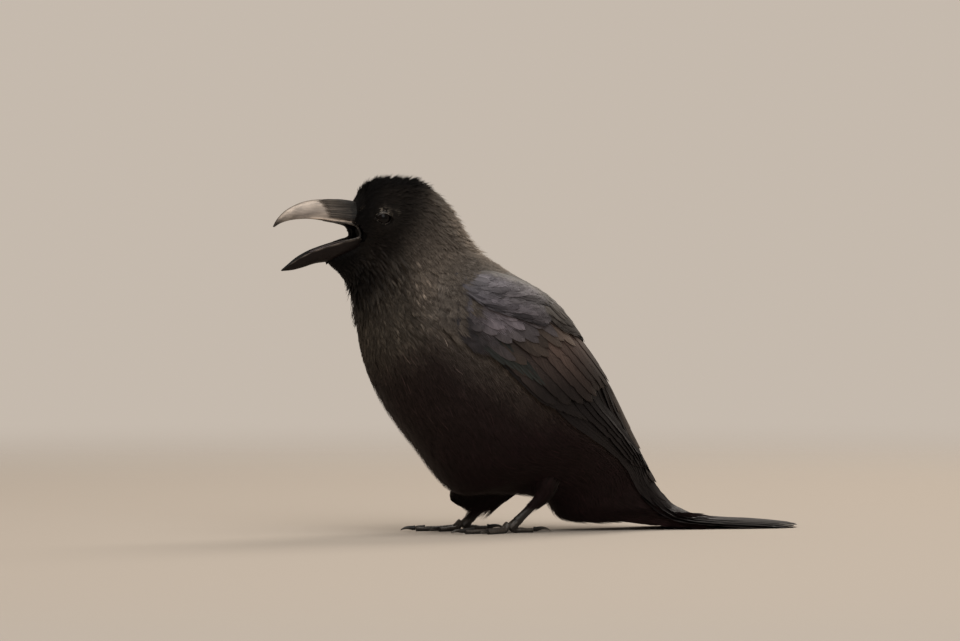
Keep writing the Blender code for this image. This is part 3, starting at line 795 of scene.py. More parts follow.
def neck_coat(material):
    coat = Coat()
    plain = several(8, loose_feather, 6, 0.42, 0.3, spread=0.34)
    station, angle = free_places(*staggered(4.1, 7.4, 2.6), wing_margin=16)
    throat = np.abs(angle) > 120 + 12 * np.sin(station * 7)
    keep = ~throat | (RNG.random(len(station)) < 0.6)
    station, angle = station[keep], angle[keep]
    n = len(station)
    nape = fall(station, 5.6, 6.4) * fall(np.abs(angle), 40, 75)
    length, width = RNG.uniform(11, 15, n), RNG.uniform(2.2, 3.0, n)
    lift = 0.15 + 0.5 * RNG.random(n) ** 3 + nape * (1.8 + 2.8 * RNG.random(n) ** 2)
    colours = varied(plumage_colour(station, angle), 0.10)
    grow(coat, plain, station, angle, length, width, lift, RNG.normal(0, 0.12, n), colours)
    crest(coat, 420, (3.9, 6.2), 60, (11.0, 15.0), (1.6, 2.4), (2.0, 4.6))
    return coat.build("neck_coat", material, "feather")


def throat_coat(material):
    """Long pointed feathers of the throat, which stand off it while the crow calls."""
    coat = Coat()
    blades = several(6, blade_feather, 4, 0.4, split=0.35)
    station, angle = free_places(*staggered(1.6, 7.0, 2.1))
    bound = 114 - 26 * ramp(station, 3.5, 5.5)
    keep = np.abs(angle) > bound + RNG.normal(0, 7, len(angle))
    station, angle = station[keep], angle[keep]
    n = len(station)
    lower = ramp(station, 2.4, 4.2)
    length = (7.5 + 9.0 * lower) * RNG.uniform(0.85, 1.15, n)
    width = (0.95 + 0.45 * lower) * RNG.uniform(0.8, 1.25, n)
    loose = band(station, 1.8, 2.6, 3.9, 4.9)
    lift = 0.15 + loose * RNG.random(n) ** 2 * 5.0 + 0.5 * RNG.random(n) ** 3
    # some feathers of the lower throat are lightened with painted sheen
    pale = band(station, 3.6, 4.4, 5.6, 6.8) * (RNG.random(n) < 0.22)
    colours = varied(plumage_colour(station, angle) * (1.05 + 0.85 * pale[:, None]), 0.18)
    at_chin = before_chin(on_body(station, angle) - (4.0, 0, 0))
    grow(coat, blades, station, angle, length, width, lift, RNG.normal(0, 0.13, n), colours,
         coat_depth(station) * 0.8 + 2.2 * at_chin)
    return coat.build("throat_coat", material, "feather")


def trunk_coat(name, material, from_angle, to_angle):
    """Feathers of one half of the trunk, and thin strands among them."""
    coat = Coat()
    feathers = several(10, loose_feather, 9, 0.46, 0.22, spread=0.3)
    station, angle = free_places(*staggered(6.9, 13.3, 4.1, from_angle, to_angle), 9.0)
    n = len(station)
    belly = band(station, 9.2, 9.9, 10.6, 11.4) * ramp(np.abs(angle), 130, 155)
    under_tail = ramp(station, 11.6, 12.2) * ramp(np.abs(angle), 110, 150)
    length = RNG.uniform(19, 25, n) * (1 + 0.2 * belly)
    width = RNG.uniform(4.4, 5.6, n)
    lift = 0.1 + 0.6 * RNG.random(n) ** 3 + 2.5 * belly * RNG.random(n) + 1.5 * under_tail * RNG.random(n)
    colours = varied(plumage_colour(station, angle), 0.10)
    grow(coat, feathers, station, angle, length, width, lift, RNG.normal(0, 0.09, n), colours, knots=6)
    station, angle = free_places(*staggered(6.9, 12.6, 3.6, from_angle, to_angle), 9.0)
    n = len(station)
    pale = (RNG.random(n) < 0.05) * (1 - 0.7 * ramp(station, 7.5, 9.0))
    colours = varied(plumage_colour(station, angle) * (1.25 + 4.0 * pale[:, None]), 0.25)
    grow(coat, [hair(3)], station, angle, RNG.uniform(7, 12, n), RNG.uniform(0.14, 0.30, n),
         RNG.uniform(0.2, 1.0, n), RNG.normal(0, 0.2, n), colours, np.full(n, 0.3))
    return coat.build(name, material, "feather")


# ================================================================ wings


def around(grid):
    """The mean of each place's four neighbours in a grid."""
    g = np.pad(grid, 1, mode="edge")
    return (g[2:, 1:-1] + g[:-2, 1:-1] + g[1:-1, 2:] + g[1:-1, :-2]) / 4


class WingSurface:
    """Height of the folded left wing's outside over the body, read from its solids."""

    def __init__(self):
        tree = tree_of("left_wing", "left_secondaries", "left_primaries")
        self.lines = np.linspace(6.2, 15.8, 97), np.linspace(0, 104, 53)  # of stations and of angles
        s, a = np.meshgrid(*self.lines, indexing="ij")
        points = on_body(s, a)
        _, normal, _, _ = body_axes(s, a)
        height = np.full(s.shape, np.nan)
        reach = 30.0
        for i in np.ndindex(s.shape):
            hit = tree.ray_cast(Vector(points[i] + normal[i] * reach), Vector(-normal[i]), reach + 6)
            if hit[0] is not None:
                height[i] = reach - hit[3]
        known = ~np.isnan(height)  # the other places are filled from their neighbours
        height = np.where(known, height, 1.0)
        for _ in range(60):
            height = np.where(known, height, around(height))
        for _ in range(2):  # and small steps are smoothed
            height = (height + around(height)) / 2
        self.height = height

    def at(self, station, angle):
        i, j = (np.clip(np.interp(value, line, np.arange(len(line))), 0, len(line) - 1.001)
                for value, line in zip((station, angle), self.lines))
        low, left = i.astype(int), j.astype(int)
        fi, fj = i - low, j - left
        h = self.height
        return (
            h[low, left] * (1 - fi) * (1 - fj) + h[low + 1, left] * fi * (1 - fj)
            + h[low, left + 1] * (1 - fi) * fj + h[low + 1, left + 1] * fi * fj
        )

    def points(self, station, across, height):
        """Points over the wing."""
        angle = wing_angle(station, across)
        _, normal, _, _ = body_axes(station, angle)
        return on_body(station, angle) + normal * (self.at(station, angle) + height)[..., None], normal

    def surface(self, station, across, height):
        """Points over the wing and the normals of its own surface there."""
        points, rough = self.points(station, across, height)
        along, down = (
            self.points(station + s, across + w, height)[0] - self.points(station - s, across - w, height)[0]
            for s, w in ((0.06, 0), (0, 0.03))
        )
        return points, unit(unit(np.cross(down, along)) + 0.6 * rough)


def lay_on_wings(coat, wing, templates, station, across, height, width, colours, **more):
    """Feathers of both wings along lines of (station, across) with heights over the wing."""
    width = np.broadcast_to(np.asarray(width, float), len(station))
    line, normal = wing.surface(station, across, height)
    places = place_of(station[:, 0], wing_angle(station[:, 0], across[:, 0]))
    choice = np.arange(len(station)) % len(templates)
    coat.deal(templates, choice, line, normal, width, colours, places, (False, True), **more)


def wing_feathers(coat, wing, templates, roots, tips, width, heights, colours, knots=8, over=None, **more):
    """Feathers of both wings, straight from roots to tips given as (station, across) rows. heights
    are those of root and tip over the wing, or over another surface that over gives."""
    root_height, tip_height = (np.broadcast_to(np.asarray(h, float), len(roots))[:, None] for h in heights)
    share = np.linspace(0, 1, knots)[None]
    station, across = (roots[:, [k]] * (1 - share) + tips[:, [k]] * share for k in (0, 1))
    height = root_height * (1 - share) ** 1.3 + tip_height * share
    if over is not None:
        height = height + over(station, across)
    lay_on_wings(coat, wing, templates, station, across, height, width, colours, **more)


def feather_row(coat, wing, templates, count, root, tip, width, layer, sink, colour, uneven, **more):
    """A row of firm feathers. root and tip give station and across, layer the height of the tips and
    sink how far the roots lie under it. All but sink are pairs: the first feather's value, and what
    is added up to the last feather's."""
    def spread(pair):
        return pair[0] + pair[1] * np.linspace(0, 1, count)

    roots, tips = (np.stack([spread(pair) for pair in end], -1) for end in (root, tip))
    tips[:, 0] = np.minimum(tips[:, 0], WING_TIP)
    heights = (spread(layer) - sink, spread(layer))
    colours = varied(np.broadcast_to(colour, (count, 3)), uneven)
    wing_feathers(coat, wing, templates, roots, tips, spread(width), heights, colours, **more)


def front_rows(stations, counts, uneven, start, span, front, drift, length, turn):
    """Roots and tips of staggered rows that follow the round front of the wing. front gives how far
    behind its row's station a feather begins."""
    roots, tips = [], []
    for k, (station, count) in enumerate(zip(stations, counts)):
        w = (np.arange(count) + 0.5 * (k % 2) + RNG.normal(0, uneven, count)) / count * span + start
        s = station + front(w, k) + RNG.normal(0, drift, count)
        roots.append(np.stack([s, w], -1))
        tips.append(np.stack([s + RNG.uniform(*length, count), w + RNG.normal(*turn, count)], -1))
    return np.concatenate(roots), np.concatenate(tips)


def covert_colour(station, across):
    """Grey at the shoulder with a painted violet sheen below its lobes, brown behind them and nearly
    black along the lower edge."""
    brown = mix(COVERT_BROWN, np.array(COVERT_BROWN) * 0.55, ramp(across, 0.42, 0.66))
    grey = mix(SHOULDER_GREY, brown, ramp(station, 7.9, 8.5))
    # a patch of painted violet sheen below the shoulder's lobes
    violet = band(across, 0.48, 0.60, 0.84, 0.95) * band(station, 6.3, 7.2, 7.65, 8.25)
    base = mix(grey, COVERT_VIOLET_SHEEN, violet)
    base = mix(base, FLIGHT_BROWN, 0.7 * ramp(across, 0.86, 1.0))
    return mix(base, FLIGHT_BROWN, ramp(station, 9.0, 9.7))


def covert_coat(wing, material):
    coat = Coat()
    alula(coat, wing)
    greater_coverts(coat, wing)
    median_coverts(coat, wing)
    lesser_coverts(coat, wing)
    for lobe in SHOULDER_LOBES:
        shoulder_lobe(coat, wing, *lobe)
    return coat.build("wing_coverts", material, "wing_feather", "left_wing", "right_wing")


def lesser_coverts(coat, wing):
    """Small soft feathers over the bend of the wing."""
    templates = several(6, loose_feather, 7, 0.6, 0.1, spread=0.16)

    def front(w, k):
        return 0.45 * (2 * w - 1.05) ** 2 * (1 - k / 11)

    roots, tips = front_rows(np.linspace(6.0, 7.35, 11), [16] * 11, 0.18, 0.42, 0.66, front, 0.03,
                             (0.48, 0.62), (-0.01, 0.01))
    colours = varied(covert_colour(*roots.T), 0.12)
    wing_feathers(coat, wing, templates, roots, tips, RNG.uniform(2.8, 3.8, len(roots)), (-2.2, 0.2),
                  colours, knots=5)


def median_coverts(coat, wing):
    """Uneven rows of rounded feathers below the shoulder's lobes."""
    templates = several(6, soft_vane, 0.66)
    count = 9
    for station, reach, width, height in ((7.30, 8.62, 5.0, 0.05), (7.10, 8.25, 4.8, 0.30),
                                          (6.90, 7.80, 4.6, 0.45)):
        w = np.linspace(0.40, 0.95, count) + RNG.normal(0, 0.02, count)
        roots = np.stack([np.full(count, station), w], -1)
        tips = np.stack([reach - 0.25 * (w - 0.6) + RNG.normal(0, 0.15, count), w - 0.015], -1)
        colours = varied(covert_colour(np.full(count, reach - 0.15), w), 0.16)
        # their roots get painted shade where they come out from under the lobes
        wing_feathers(coat, wing, templates, roots, tips, width, (-2.4, height), colours, knots=7,
                      tilt=0.05, root_shade=0.45, shade_span=(0.35, 0.85))


def greater_coverts(coat, wing):
    """A row of long feathers, pale at their roots and dark at their tips."""
    templates = several(4, vane_feather, 22, 8, 0.74, 2.4, 0.85, camber=0.09, ragged=0.02)
    count = 12
    w = np.linspace(0.02, 0.93, count)
    roots = np.stack([7.75 + 0.1 * w, w], -1)
    tip = 9.72 + 0.14 * np.sin(w * 4) - 0.25 * ramp(w, 0.8, 1.0) + RNG.normal(0, 0.05, count)
    tips = np.stack([tip, w + 0.015], -1)
    colours = mix(GREATER_BROWN, FLIGHT_BROWN, ramp(w, 0.55, 0.95))
    # feathers near the wing's upper edge get painted rim light
    colours = varied(mix(colours, TERTIAL_BROWN_RIM_LIT, 0.16 * fall(w, 0.05, 0.35)), 0.12)
    wing_feathers(coat, wing, templates, roots, tips, 6.4, (-2.4, 0.2), colours, tilt=0.10,
                  root_shade=4.0, shade_span=(0.35, 0.85))


def soft_vane(rng, tip):
    """A rounded covert feather."""
    return vane_feather(rng, 16, 8, tip, 2.0, camber=0.10, ragged=0.0, shaft=0.010, root=0.5, gaps=0)


def shoulder_lobe(coat, wing, axis, half, edge, dome, colours, shade):
    """One lobe of the shoulder's long soft feathers, which run on along it and meet at its end.
    axis is a row of (station, across), half the half width there, edge and dome the height at its
    edge and over its middle, and colours those of its start, end and upper side. shade darkens its
    lower side as painted shade."""
    templates = several(3, soft_vane, 0.55)
    templates += several(3, loose_feather, 5, 0.80, 0.05, spread=0.10, camber=0.10)
    count, t = 10, np.linspace(0, 1, 9)[None]
    for start in np.linspace(-0.12, 0.60, 9):
        v = (np.arange(count) + 0.5 + RNG.normal(0, 0.15, count)) / count * 2 - 1
        begin = start + RNG.normal(0, 0.03, count)
        end = np.minimum(begin + 0.42, 1.02 - 0.03 * np.abs(v))
        u = begin[:, None] * (1 - t) + end[:, None] * t
        on_axis = np.clip(u, 0, 1)
        middle = curve_at(axis, on_axis)
        station = middle[..., 0] + np.minimum(u, 0) * 2.0
        across = middle[..., 1] + v[:, None] * curve_at(np.array(half)[:, None], on_axis)[..., 0]
        arch = np.sqrt(np.maximum(0, 1 - v**2))[:, None] * np.sin(np.pi * np.clip(u, 0.1, 0.95))
        height = (edge + dome * arch) * ramp(u, -0.1, 0.25) - 1.5 * (1 - t) ** 1.3
        tone = mix(mix(colours[0], colours[1], ramp(begin, 0.0, 0.6)), colours[2], ramp(-v, 0.0, 0.8))
        # Bands of painted light and shade over the lobe's soft lumps; its lower side gets painted shade, and
        # rows near its end are darker.
        lump_light_and_shade = 0.20 * np.sin(23 * begin + 2.6 * v)
        tone = tone * (1 + lump_light_and_shade - shade * ramp(v, 0.0, 0.9) - 0.3 * ramp(begin, 0.35, 0.6))[:, None]
        lay_on_wings(coat, wing, templates, station, across, height, RNG.uniform(2.6, 3.4, count),
                     varied(tone, 0.13), tilt=0.05, root_shade=0.8)


def alula(coat, wing):
    """The primary coverts along the wing's lower edge, and over them the thumb's short feathers."""
    templates = several(3, vane_feather, 16, 6, 0.72, 2.2, 0.5, camber=0.08, ragged=0.03)
    feather_row(coat, wing, templates, 7, ((7.9, 0.1), (0.88, 0.10)), ((10.15, -0.75), (0.86, 0.13)),
                (4.4, 0), (-0.9, 0), 1.5, FLIGHT_BROWN, 0.12, tilt=0.16)
    feather_row(coat, wing, templates, 6, ((7.30, 0), (0.87, 0.12)), ((9.2, -0.9), (0.90, 0.09)),
                (2.5, 0), (0.3, 0), 1.9, ALULA_GREEN, 0.25, tilt=0.16)


def shoulder_coat(wing, material):
    """Body feathers of neck, mantle and breast that run on over the front of each wing."""
    coat = Coat()
    templates = several(8, loose_feather, 8, 0.45, 0.25, spread=0.32)

    def front(w, _):
        return 0.42 * (2 * w - 1.0) ** 2 - 0.12

    roots, tips = front_rows(np.linspace(5.35, 6.60, 11), [26] * 8 + [13] * 3, 0.2, -0.18, 1.35, front,
                             0.04, (0.42, 0.66), (0, 0.02))
    station, w = roots.T
    colours = varied(plumage_colour(np.minimum(station, 6.2), wing_angle(station, w)), 0.12)
    over_lobes = 1.6 + 1.7 * ramp(station, 6.0, 6.5) * bump(w, 0.4, 0.35)

    def down_to_body(station, across):
        wing_height = wing.at(station, wing_angle(station, across))
        return -(wing_height + COAT_INSET + 0.9) * fall(station, 5.5, 6.4)

    wing_feathers(coat, wing, templates, roots, tips, RNG.uniform(2.4, 3.4, len(roots)), (-1.8, over_lobes),
                  colours, knots=6, over=down_to_body)
    mantle_edge(coat, wing)
    return coat.build("shoulder_coat", material, "feather")


def mantle_edge(coat, wing):
    """Feathers of the back that run down from the wings' upper edges to its middle."""
    templates = several(6, loose_feather, 9, 0.5, 0.2, spread=0.28)
    roots, tips = [], []
    for station in np.linspace(6.5, 10.8, 17):
        share = np.linspace(-0.2, 1.0, 6) + RNG.normal(0, 0.05, 6)  # from the wing's edge inwards
        for rows, places in ((roots, station + RNG.normal(0, 0.05, 6)),
                             (tips, station + RNG.uniform(0.9, 1.2, 6))):
            upper, lower = wing_edges(places)
            rows.append(np.stack([places, -upper * share / (lower - upper)], -1))
    roots, tips = np.concatenate(roots), np.concatenate(tips)

    def down_to_back(station, across):
        upper, lower = wing_edges(station)
        share = np.clip(-across * (lower - upper) / upper, 0, 1)
        return -share * wing.at(station, upper * (1 - share))

    colours = varied(plumage_colour(roots[:, 0], np.full(len(roots), 20.0)), 0.12)
    wing_feathers(coat, wing, templates, roots, tips, 4.6, (-2.6, 0.5), colours, knots=6,
                  over=down_to_back)


def flight_coat(wing, material):
    """Primaries from the innermost to the outermost, secondaries, and tertials, the last on top."""
    coat = Coat()
    vanes = several(3, vane_feather, 40, 8, 0.80, 1.8, 0.5, camber=0.05, ragged=0.03)
    reach = 13.0 + 2.4 * np.sin(np.linspace(0, 2.2, 9)) / math.sin(1.75)
    feather_row(coat, wing, vanes, 9, ((8.7, -0.25), (0.70, 0.24)), ((reach, 0), (0.60, 0.33)),
                (8.4, -1.4), (-1.6, -0.96), 1.0, np.array(FLIGHT_BROWN) * 0.85, 0.10, knots=14, tilt=0.12)
    vanes = several(3, vane_feather, 30, 8, 0.84, 2.6, 0.7, camber=0.05, ragged=0.03)
    feather_row(coat, wing, vanes, 8, ((8.7, 0), (0.30, 0.46)), ((12.75, -0.65), (0.40, 0.38)),
                (8.6, 0), (-0.9, -0.56), 1.2, FLIGHT_BROWN, 0.12, knots=11, tilt=0.13)
    vanes = several(3, vane_feather, 26, 8, 0.72, 2.3, 0.85, camber=0.20, ragged=0.04)
    # the upper tertials, along the wing's upper edge, get the most painted rim light
    rim_lit_browns = mix(FLIGHT_BROWN, TERTIAL_BROWN_RIM_LIT, 0.1 + 0.5 * np.linspace(0, 1, 4) ** 2)
    feather_row(coat, wing, vanes, 4, ((8.6, 0), (0.38, -0.34)), ((13.1, -1.9), (0.42, -0.22)),
                (11.5, -1.4), (-0.5, 0.6), 1.6, rim_lit_browns, 0.10, knots=10, tilt=0.02)
    return coat.build(
        "flight_feathers", material, "wing_feather",
        "left_secondaries", "right_secondaries", "left_primaries", "right_primaries",
    )


# ================================================================ tail


def tail_coat(material):
    """Twelve tail feathers, the middle pair on top."""
    coat = Coat()
    templates = several(3, vane_feather, 40, 8, 0.90, 2.6, 1.0, camber=0.06, ragged=0.03)
    tip_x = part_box("tail")[1].x / MM
    t = np.linspace(0, 1, 12)
    for k in range(6):
        share = (k + 0.5) / 6
        station = 12.9 + 4.1 * t
        angle = (88 * share - 5) * (1 - 0.12 * (1 - t))
        _, normal, _, _ = body_axes(station, angle)
        line = on_body(station, angle) - normal * (0.5 + 0.34 * k)
        line[:, 0] -= 27 * share**2 * t**1.5
        line[-1, 0] = min(line[-1, 0], tip_x - 1)
        line[:, 2] = np.maximum(line[:, 2], 0.7)
        flat = unit(normal + (0, 0, 1.5))
        colours = varied(np.array([FLIGHT_BROWN]) * 0.8, 0.06)
        places = place_of(np.array([13.0]), np.array([20.0 + 20 * k]))
        coat.deal([templates[k % 3]], np.zeros(1), line[None], flat[None], np.array([10.5 - 0.4 * k]),
                  colours, places, (False, True))
    return coat.build("tail_feathers", material, "wing_feather", "tail")


def tail_covert_coat(material):
    coat = Coat()
    feathers = several(6, loose_feather, 8, 0.6, 0.12, spread=0.2)
    station, angle = staggered(12.6, 14.2, 5.5)
    n = len(station)
    length, width, sway = RNG.uniform(24, 32, n), RNG.uniform(5, 6.5, n), RNG.normal(0, 0.04, n)
    grow(coat, feathers, station, angle, length, width, np.full(n, 0.2), sway,
         varied(plumage_colour(station, angle), 0.15), knots=6)
    return coat.build("tail_coverts", material, "feather")


# ================================================================ skin


def nearest_place(points):
    """The station and angle of the body's form nearest to each point."""
    stations, angles = np.linspace(0, 17, 171), np.linspace(-180, 176, 90)
    s, a = np.meshgrid(stations, angles, indexing="ij")
    grid = on_body(s, a).reshape(-1, 3)
    tree = KDTree(len(grid))
    for i, p in enumerate(grid):
        tree.insert(p, i)
    tree.balance()
    index = np.array([tree.find(p)[1] for p in points])
    return s.ravel()[index], a.ravel()[index]


def build_skin(material):
    """The skin that all the feathers grow from, in one piece from the face to the tail's root."""
    nodes = ["head", "neck", "trunk", "left_thigh", "right_thigh", "left_wing", "right_wing"]
    skin = solid_copy("skin", nodes, 0.6, 1.5, 4, material)
    points, normals = points_and_normals(skin)
    station, angle = nearest_place(points)
    depth = coat_depth(station) * np.maximum(eye_clearance(points), 0.6)
    x, y, z = points.T
    lining = mouth_gap(points, 1.5) | (np.abs(y) < 9) & (x < GAPE[0] + 18) & (np.abs(z - GAPE[1]) < 14)
    depth[(np.sign(y) * normals[:, 1] < 0.2) & lining] = 0.0
    depth += 0.3
    upper, lower = wing_edges(station)
    on_wing = (station > WING_START) & (np.abs(angle) > upper - 3) & (np.abs(angle) < lower + 3)
    depth = np.where(on_wing, WING_COAT_DEPTH, depth)
    points[lining] += np.sign(points[lining, 2:] - GAPE[1]) * (0, 0, 1.0) + (1.4, 0, 0)
    set_points(skin, drawn_into_bill(points - normals * depth[:, None]))
    colour = plumage_colour(station, angle) * 0.6
    colour[lining] = MOUTH_BLACK
    paint(skin, colour)
    return finished(skin, "feather", *nodes)


def eye_clearance(points):
    """How much of the coat's depth there is near an eye, from none at its lids to all of it."""
    return ramp(np.hypot(points[:, 0] - EYE_X, points[:, 2] - EYE_Z), 6.0, 13.0)


def brow_glint_share(points):
    """1 where painted glints lie on small feathers among the dark ones: in front of the eye, above it, and
    behind.
    """
    share = np.zeros(len(points))
    for dx, dz, reach, weight in ((-2.8, 6.6, 1.9, 1.0), (0.4, 6.4, 1.5, 1.0), (6.2, 4.6, 2.4, 0.3)):
        share += weight * bump(points[:, 0], EYE_X + dx, reach) * bump(points[:, 2], EYE_Z + dz, reach)
    return np.clip(share, 0, 1)


def drawn_into_bill(points):
    """Draws what lies ahead of the face into the two jaws, so that only their horn shows there."""
    x = points[:, 0] - SHIFT_X
    share = 1 - 0.5 * fall(x, BILL_BASE - 8, BILL_BASE - 2)
    below, bare = points[:, 2] < GAPE[1], before_chin(points + (1.0, 0, 0))
    share = np.where(bare, np.minimum(share, 0.6), np.where(below, 1.0, share))
    for rows, above in ((UPPER_BILL, True), (LOWER_BILL, False)):
        axis_x, axis_z = np.array([(r[0], (r[1] + e[1]) / 2) for r, e, _ in rows[::-1]]).T
        axis = np.interp(x, axis_x, axis_z)
        pick = (points[:, 2] > GAPE[1]) == above
        points[pick, 2] = (axis + (points[:, 2] - axis) * share)[pick]
        points[pick, 1] *= share[pick]
    return points


# ================================================================ bill, tongue and bristles


def bill_points(rows, place, width_share, way):
    """Points of a bill at shares of its half width, and of the way from ridge to cutting edge."""
    flat = [(*ridge, *edge, width) for ridge, edge, width in rows]
    ridge_x, ridge_z, edge_x, edge_z, width = np.moveaxis(curve_rows(flat, place), -1, 0)
    x = ridge_x + way * (edge_x - ridge_x) + SHIFT_X
    return np.stack([x, -width_share * width, ridge_z + way * (edge_z - ridge_z)], -1)


def bill_section(fine):
    """Both halves of a bill's section, closely spaced but sharp at the cutting edges."""
    outside = curve_at(BILL_SECTION[:6], np.linspace(0, 1, fine))
    inside = curve_at(BILL_SECTION[5:], np.linspace(0, 1, fine // 2))[1:]
    half = np.concatenate([outside, inside])
    return np.concatenate([half, half[-2:0:-1] * (-1, 1)])


def build_bill(name, rows, pale, material):
    """One jaw of horn. pale gives its share of painted reflection from the way along it and down its side.
    """
    fine = 22
    section = bill_section(fine)
    share, width_share = np.meshgrid(np.linspace(0, 1, 110), section[:, 0], indexing="ij")
    way = np.broadcast_to(section[:, 1], share.shape)
    points = bill_points(rows, share * (len(rows) - 1), width_share, way)
    rings, parts = share.shape
    index = np.arange(parts)
    ends = [index[::-1][None], (index + (rings - 1) * parts)[None]]
    bill = mesh_object(name, points.reshape(-1, 3), [ring_faces(rings, parts)[:, ::-1], *ends], material)
    colour = mix(HORN_DARK, HORN_REFLECTION, pale(share, way))
    colour[:, (index >= fine) & (index <= parts - fine)] = MOUTH_BLACK
    paint(bill, colour.reshape(-1, 3))
    return finished(bill, "horn", name.removesuffix("_horn"))


def upper_tone(along, way):
    """Pale grey of painted reflection, brightest high on the front half and along the edge at the
    gape, with a dark tip and painted shade where it turns under."""
    side = ramp(way, -0.02, 0.12) * (1 - 0.36 * ramp(way, 0.30, 0.95) * ramp(along, 0.25, 0.5))
    cloud = 0.86 + 0.14 * np.sin(along * 11 + way * 4) * np.sin(along * 23 - way * 9)
    # gleam is a painted highlight high on the front half, strip a painted highlight along the polished
    # cutting edge near the gape, and under painted shade where the horn turns under.
    gleam = 0.45 * bump(way, 0.10, 0.24) * ramp(along, 0.25, 0.40)
    edge = 0.86 + 0.11 * ramp(along, 0.12, 0.33)
    strip = 0.7 * bump(way, edge, 0.07) * fall(along, 0.42, 0.55)
    under = 1 - 0.92 * ramp(way, edge + 0.05, edge + 0.10) * (1 - 0.5 * ramp(along, 0.35, 0.6))
    tone = (0.80 * side + strip + gleam) * cloud * under * (1 - 0.9 * ramp(along, 0.76, 0.93))
    return 1.6 * np.clip(tone, 0, 1.25) ** 1.2


def lower_tone(along, way):
    """Nearly black, with a thin painted highlight along the cutting edge."""
    line = ramp(way, 0.90, 0.95) * fall(along, 0.75, 0.95)
    return np.clip(0.4 * line * (0.6 + 0.4 * np.sin(along * 40)), 0, 1)


def mouth_piece(name, grid_of, closed, tone, material):
    """A piece from the grids of points that grid_of gives for each side of the mouth."""
    points, faces = [], []
    for side in (-1, 1):
        grid = grid_of(side)
        quads = ring_faces(*grid.shape[:2], closed)
        faces.append((quads if side > 0 else quads[:, ::-1]) + len(points) * grid[..., 0].size)
        points.append(grid.reshape(-1, 3))
    made = mesh_object(name, np.concatenate(points), faces, material)
    paint(made, np.tile(np.repeat(tone, grid.shape[1], 0), (2, 1)))
    return finished(made, "tongue_skin")


def refined(name, node, voxel, rounds, material, slot):
    """A smooth close-meshed copy of a CAD node in its place."""
    return finished(solid_copy(name, [node], 0.0, voxel, rounds, material), slot, node)


def gape_rim(material):
    """Soft skin that edges the mouth's corner on each side."""
    share, turn = np.linspace(0, 1, 120), turns(14)
    path = curve_at(np.array(GAPE_RIM) + (SHIFT_X, 0), share)
    ahead = unit(np.gradient(path, axis=0))
    arch = np.sin(np.pi * share)
    radius, width = 0.08 + 0.97 * arch**0.8, GAPE_HALF_WIDTH - 1.6 * (1 - arch) ** 2

    def grid_of(side):
        lump = 1 + 0.05 * np.sin(share * 37 + side) + 0.03 * np.sin(share * 83 + side * 2)
        r = (radius * lump)[:, None]
        x = path[:, :1] - ahead[:, 1:] * r * np.cos(turn)
        z = path[:, 1:] + ahead[:, :1] * r * np.cos(turn)
        return np.stack([x, side * (width[:, None] + r * np.sin(turn) * 0.9), z], -1)

    tone = 0.50 + 0.35 * np.sin(share * 31) * np.sin(share * 67) - 0.75 * bump(share, 0.52, 0.2)
    tone = np.clip(tone, 0, 1) + 0.5 * bump(share, 0.70, 0.05)
    mouth_piece("gape_rim", grid_of, True, mix(FACE_BLACK, GAPE_FLESH, tone), material)


def mouth_lining(material):
    """Dark skin that closes the cheeks inside each corner of the mouth."""
    steps = 60
    x, z = curve_at(np.array(GAPE_RIM[1:-1]) + (SHIFT_X, 0), np.linspace(0, 1, steps)).T

    def grid_of(side):
        rows = [(x + back, np.full(steps, side * (GAPE_HALF_WIDTH - inward)), z)
                for back, inward in ((0.0, 0.4), (3.0, 1.6), (7.0, 4.0))]
        return np.transpose(rows, (2, 0, 1))

    mouth_piece("mouth_lining", grid_of, False, np.full((steps, 3), MOUTH_BLACK), material)


def over_bill(side, start, reach, down, height, t, overhang=0.0):
    """Lines and normals of hairs over one side of the upper bill, from start to reach along it and
    at a row of BILL_SECTION, down. overhang is in millimetres for each row before the bill's base."""
    place = start[:, None] + (reach - start)[:, None] * t
    width_share, way = np.moveaxis(curve_rows(BILL_SECTION[:6], np.clip(down, 0, 4.6)), -1, 0)
    points = bill_points(UPPER_BILL, np.maximum(place, 0), width_share, way)
    points[..., 0] -= np.minimum(place, 0) * overhang
    normal = unit(np.stack([np.zeros_like(place), -width_share, 1.0 - way], -1))
    mirror = (1, -side, 1)
    return (points + normal * height[..., None]) * mirror, normal * mirror


def bristle_coat(material):
    """Stiff hairs that lie forward over the base of the upper bill."""
    coat = Coat()
    n, t = 900, np.linspace(0, 1, 7)[None]
    for side in (-1, 1):
        down = RNG.uniform(0.02, 1.0, n) ** 0.8
        start = -0.35 + RNG.uniform(0, 1.0, n) * 0.9
        reach = np.interp(down, *zip(*BRISTLE_REACH)) - 1.7 * RNG.random(n) ** 1.3
        row = down[:, None] * (0.80 + 0.10 * t) * 5 + RNG.normal(0, 0.14, n)[:, None] * t
        height = 0.22 + 1.9 * (1 - t) ** 1.2 + RNG.uniform(0, 0.7, n)[:, None] * np.sin(np.pi * t)
        line, normal = over_bill(side, start, reach, row, height, t, overhang=12.0)
        shade = BRISTLE_GREY * (0.35 + 0.9 * RNG.random((n, 1)) ** 1.5)
        colours = mix(shade, FACE_BLACK, 0.85 * fall(reach - start, 1.4, 2.4))
        places = np.stack([0.5 - side * 0.2 * down, np.full(n, 0.012)], -1)
        coat.add(hair(4), line, normal, RNG.uniform(0.20, 0.38, n), colours, places,
                 root_shade=0.05, shade_span=(0.30, 0.75))
        forehead_fringe(coat, side)
    return coat.build("bristles", material, "feather")


